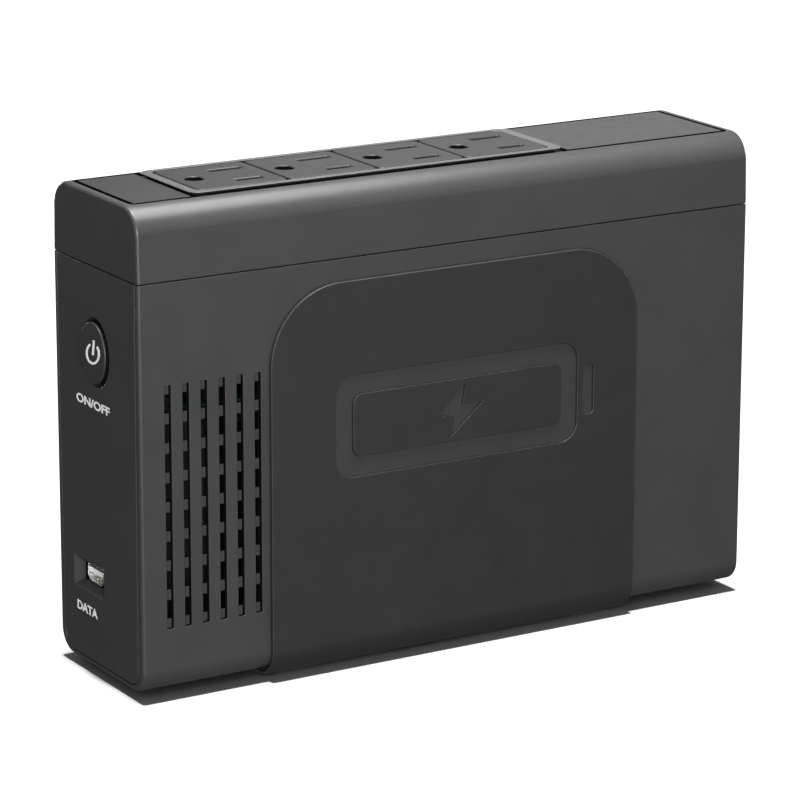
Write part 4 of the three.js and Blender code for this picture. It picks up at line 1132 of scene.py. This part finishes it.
def paint_grille_shade(body):
    """Paints black shade on the side walls of the grille's slots, for the shadow inside."""
    first_x = VENT["first_x"] - VENT["width"]
    last_x = VENT["first_x"] + (VENT["columns"] - 1) * VENT["pitch"] + VENT["width"]
    low = BASE_Z + VENT["low"] - 0.1

    def wanted(normal, at):
        in_wall = INNER_Y < abs(at.y) < HALF_D - 0.1
        return abs(normal.y) < 0.5 and in_wall and first_x < at.x < last_x and at.z > low

    paint(body, "painted_shade_black", wanted)


def sign_floor_with_sheen(body):
    """Gives the floor of the sunk sign a smoother plastic, whose lighter colour is painted sheen."""
    floor = SADDLE_LOW.y + SIGN["depth"]
    paint(body, "sign_plastic_painted_sheen", lambda normal, at: normal.y < -0.9 and abs(at.y - floor) < 0.1)


# ---- The pieces ----
BUTTON_LABEL = (-6.9, 11.3, 70.3, 72.6)  # y from and to, z from and to
PORT_LABEL = (1.9, 13.1, 15.4, 17.8)

# painted shade on the side walls of the grille's slots
paint_grille_shade(piece("housing_shell", housing(), "case", "case_plastic", "lower_housing"))
# painted shade on the walls of the plate's pocket
paint_pocket_shade(piece("cover_shell", cover(), "case", "case_plastic", "top_cover"))
piece("front_end_panel", front_panel(), "case", "case_plastic", "front_panel")
piece("rear_end_panel", rear_panel(), "case", "case_plastic", "rear_panel")
# painted sheen: a lighter colour on the sunk sign's floor
sign_floor_with_sheen(piece("saddle_shell", saddle(), "case", "saddle_plastic", "saddle_panel"))
for number in (1, 2):
    name = f"saddle_screw_{number}"
    piece(f"cross_screw_{number}", saddle_screw(number), "case", "screw_steel", name)
# painted shade on the plate's sides
paint_shade_below(piece("plate_shell", top_plate(), "case", "plate_plastic", "top_plate"), TOP_Z)
surround = piece("bezel_shell", bezel(), "case", "outlet_plastic", "outlet_bezel", material=BEZEL)
# painted shade on the bezel's undercut and neck
paint_shade_below(surround, BEZEL_HIGH.z - RIM_DEPTH)
for number, corners in enumerate(OUTLET_BOXES, 1):
    outlet_name = f"receptacle_{number}"
    insert = piece(f"outlet_{number}", outlet(*corners), "case", "outlet_plastic", outlet_name)
    # painted shade on the outlet's sides and the walls of its slots
    paint_shade_below(insert, corners[1].z - SLOT["flare"] + 0.05)
# painted shade on the button's sides
paint_button_side_shade(piece("button_dome", power_button(), "power_key", "button_plastic", "power_button"))
piece("standby_symbol", standby_symbol(), "power_key", "white_plastic", material=INK)
piece("button_label", label("ON/OFF", *BUTTON_LABEL), "case", "white_plastic", material=INK)
piece("port_label", label("DATA", *PORT_LABEL), "case", "white_plastic", material=INK)
piece("port_sleeve", port_shell(), "case", "port_steel", "port_shell")
piece("port_blade", port_tongue(), "case", "white_plastic", "port_tongue")
piece("port_contacts", port_contacts(), "case", "contact_brass")
piece("gland_ring", cord_gland(), "case", "gland_rubber", "cord_gland")
piece("hex_nut", breaker_nut(), "case", "screw_steel", "breaker_nut")
piece("trip_button", breaker_button(), "breaker_key", "black_plastic", "breaker_button")


# ---- CAD nodes that stay ----
NODE_EDGE = 0.15  # rounding of their edges


def dress_node(name, slot):
    """Gives a CAD node its material, and rounded edges as a modifier."""
    node = frame["nodes"][name]
    node.data.materials.clear()
    node.data.materials.append(MATERIALS[slot])
    edges = node.modifiers.new("soft_edges", "BEVEL")
    edges.width = NODE_EDGE * MM
    edges.segments = 2
    edges.limit_method = "ANGLE"
    edges.angle_limit = SHARP_ANGLE


for part in frame["record"]["subparts"]:
    if not frame["nodes"][part["node"]].hide_render:
        dress_node(part["node"], part["material_slot"])


# ---- Camera, light and floor ----
CAMERA = {
    "azimuth": -31.11,
    "elevation": 15.34,
    "roll": 0.12,
    "lens": 176.75,
    "sensor": 36,
    "distance": 1.0163,  # in metres
    "height": BASE_Z + 61.5,  # of the object's middle
    "left": 2.27,
    "down": 3.23,
}


def add_camera():
    a, e = math.radians(CAMERA["azimuth"]), math.radians(CAMERA["elevation"])
    back = Vector((math.sin(a) * math.cos(e), -math.cos(a) * math.cos(e), math.sin(e)))
    right = Vector((math.cos(a), math.sin(a), 0))
    up = back.cross(right)
    middle = Vector((0, 0, CAMERA["height"] * MM))
    aim = middle - CAMERA["left"] * MM * right - CAMERA["down"] * MM * up
    camera = add_object("camera", bpy.data.cameras.new("camera"))
    camera.data.lens = CAMERA["lens"]
    camera.data.sensor_width = CAMERA["sensor"]
    camera.data.clip_start = 0.05
    camera.data.clip_end = 50
    camera.matrix_world = (
        Matrix.Translation(aim + back * CAMERA["distance"])
        @ Matrix((right, up, back)).transposed().to_4x4()
        @ Matrix.Rotation(math.radians(CAMERA["roll"]), 4, "Z")
    )
    bpy.context.scene.camera = camera


def add_light(name, kind, towards, strength):
    light = bpy.data.lights.new(name, kind)
    light.energy = strength
    holder = add_object(name, light)
    holder.rotation_euler = towards.to_track_quat("-Z", "Y").to_euler()
    return holder


def add_softbox(name, place, aim, size, power):
    holder = add_light(name, "AREA", Vector(aim) - Vector(place), power)
    holder.location = place
    holder.data.shape = "RECTANGLE"
    holder.data.size, holder.data.size_y = size


def add_sun(name, towards, strength, spread):
    holder = add_light(name, "SUN", Vector(towards), strength)
    holder.data.angle = math.radians(spread)


def add_world(brightness):
    world = bpy.data.worlds.new("studio")
    world.use_nodes = True
    background = world.node_tree.nodes["Background"]
    background.inputs["Color"].default_value = (1, 1, 1, 1)
    background.inputs["Strength"].default_value = brightness
    bpy.context.scene.world = world


def add_floor():
    half = 6
    bm = bmesh.new()
    bmesh.ops.create_grid(bm, x_segments=8, y_segments=8, size=half)
    mesh = bpy.data.meshes.new("floor")
    bm.to_mesh(mesh)
    bm.free()
    floor = add_object("floor", mesh)
    n = Nodes("floor_paper")
    n.colour(n.noise(400), (0.93, 0.93, 0.93), (0.91, 0.91, 0.91))
    n.shader.inputs["Roughness"].default_value = 0.9
    n.shader.inputs["Specular IOR Level"].default_value = 0.1
    mesh.materials.append(n.material)
    floor.visible_diffuse = False
    floor.visible_glossy = False
    return floor


def spare(floor):
    """Keeps the softboxes' light off the floor, so that only the ceiling light's shadow shows."""
    spared = bpy.data.collections.new("spared")
    spared.objects.link(floor)
    spared.collection_objects[0].light_linking.link_state = "EXCLUDE"
    for holder in bpy.context.scene.objects:
        if holder.type == "LIGHT" and holder.data.type == "AREA":
            holder.light_linking.receiver_collection = spared


add_camera()
add_world(0.11)
floor_sheet = add_floor()
add_sun("ceiling_light", (-0.002, 0.01, -1), 4.6, 3.2)
MIDDLE, TOP = (0, 0, 0.06), (0, 0, 0.12)  # of the object, in metres
add_softbox("front_box", (-0.5, -1.0, 0.24), MIDDLE, (0.7, 0.44), 21)
add_softbox("key_box", (0.01, -0.03, 0.45), (0.01, -0.01, 0.12), (0.3, 0.32), 4.3)
add_softbox("back_box", (0.98, 1.05, 0.42), TOP, (0.9, 0.7), 1.05)
add_softbox("rear_fill", (0.08, 1.25, 0.03), MIDDLE, (0.5, 0.4), 8)
add_softbox("side_fill", (1.2, 0.1, 0.22), MIDDLE, (0.5, 0.4), 9)
spare(floor_sheet)
bpy.context.scene.view_settings.view_transform = "Standard"
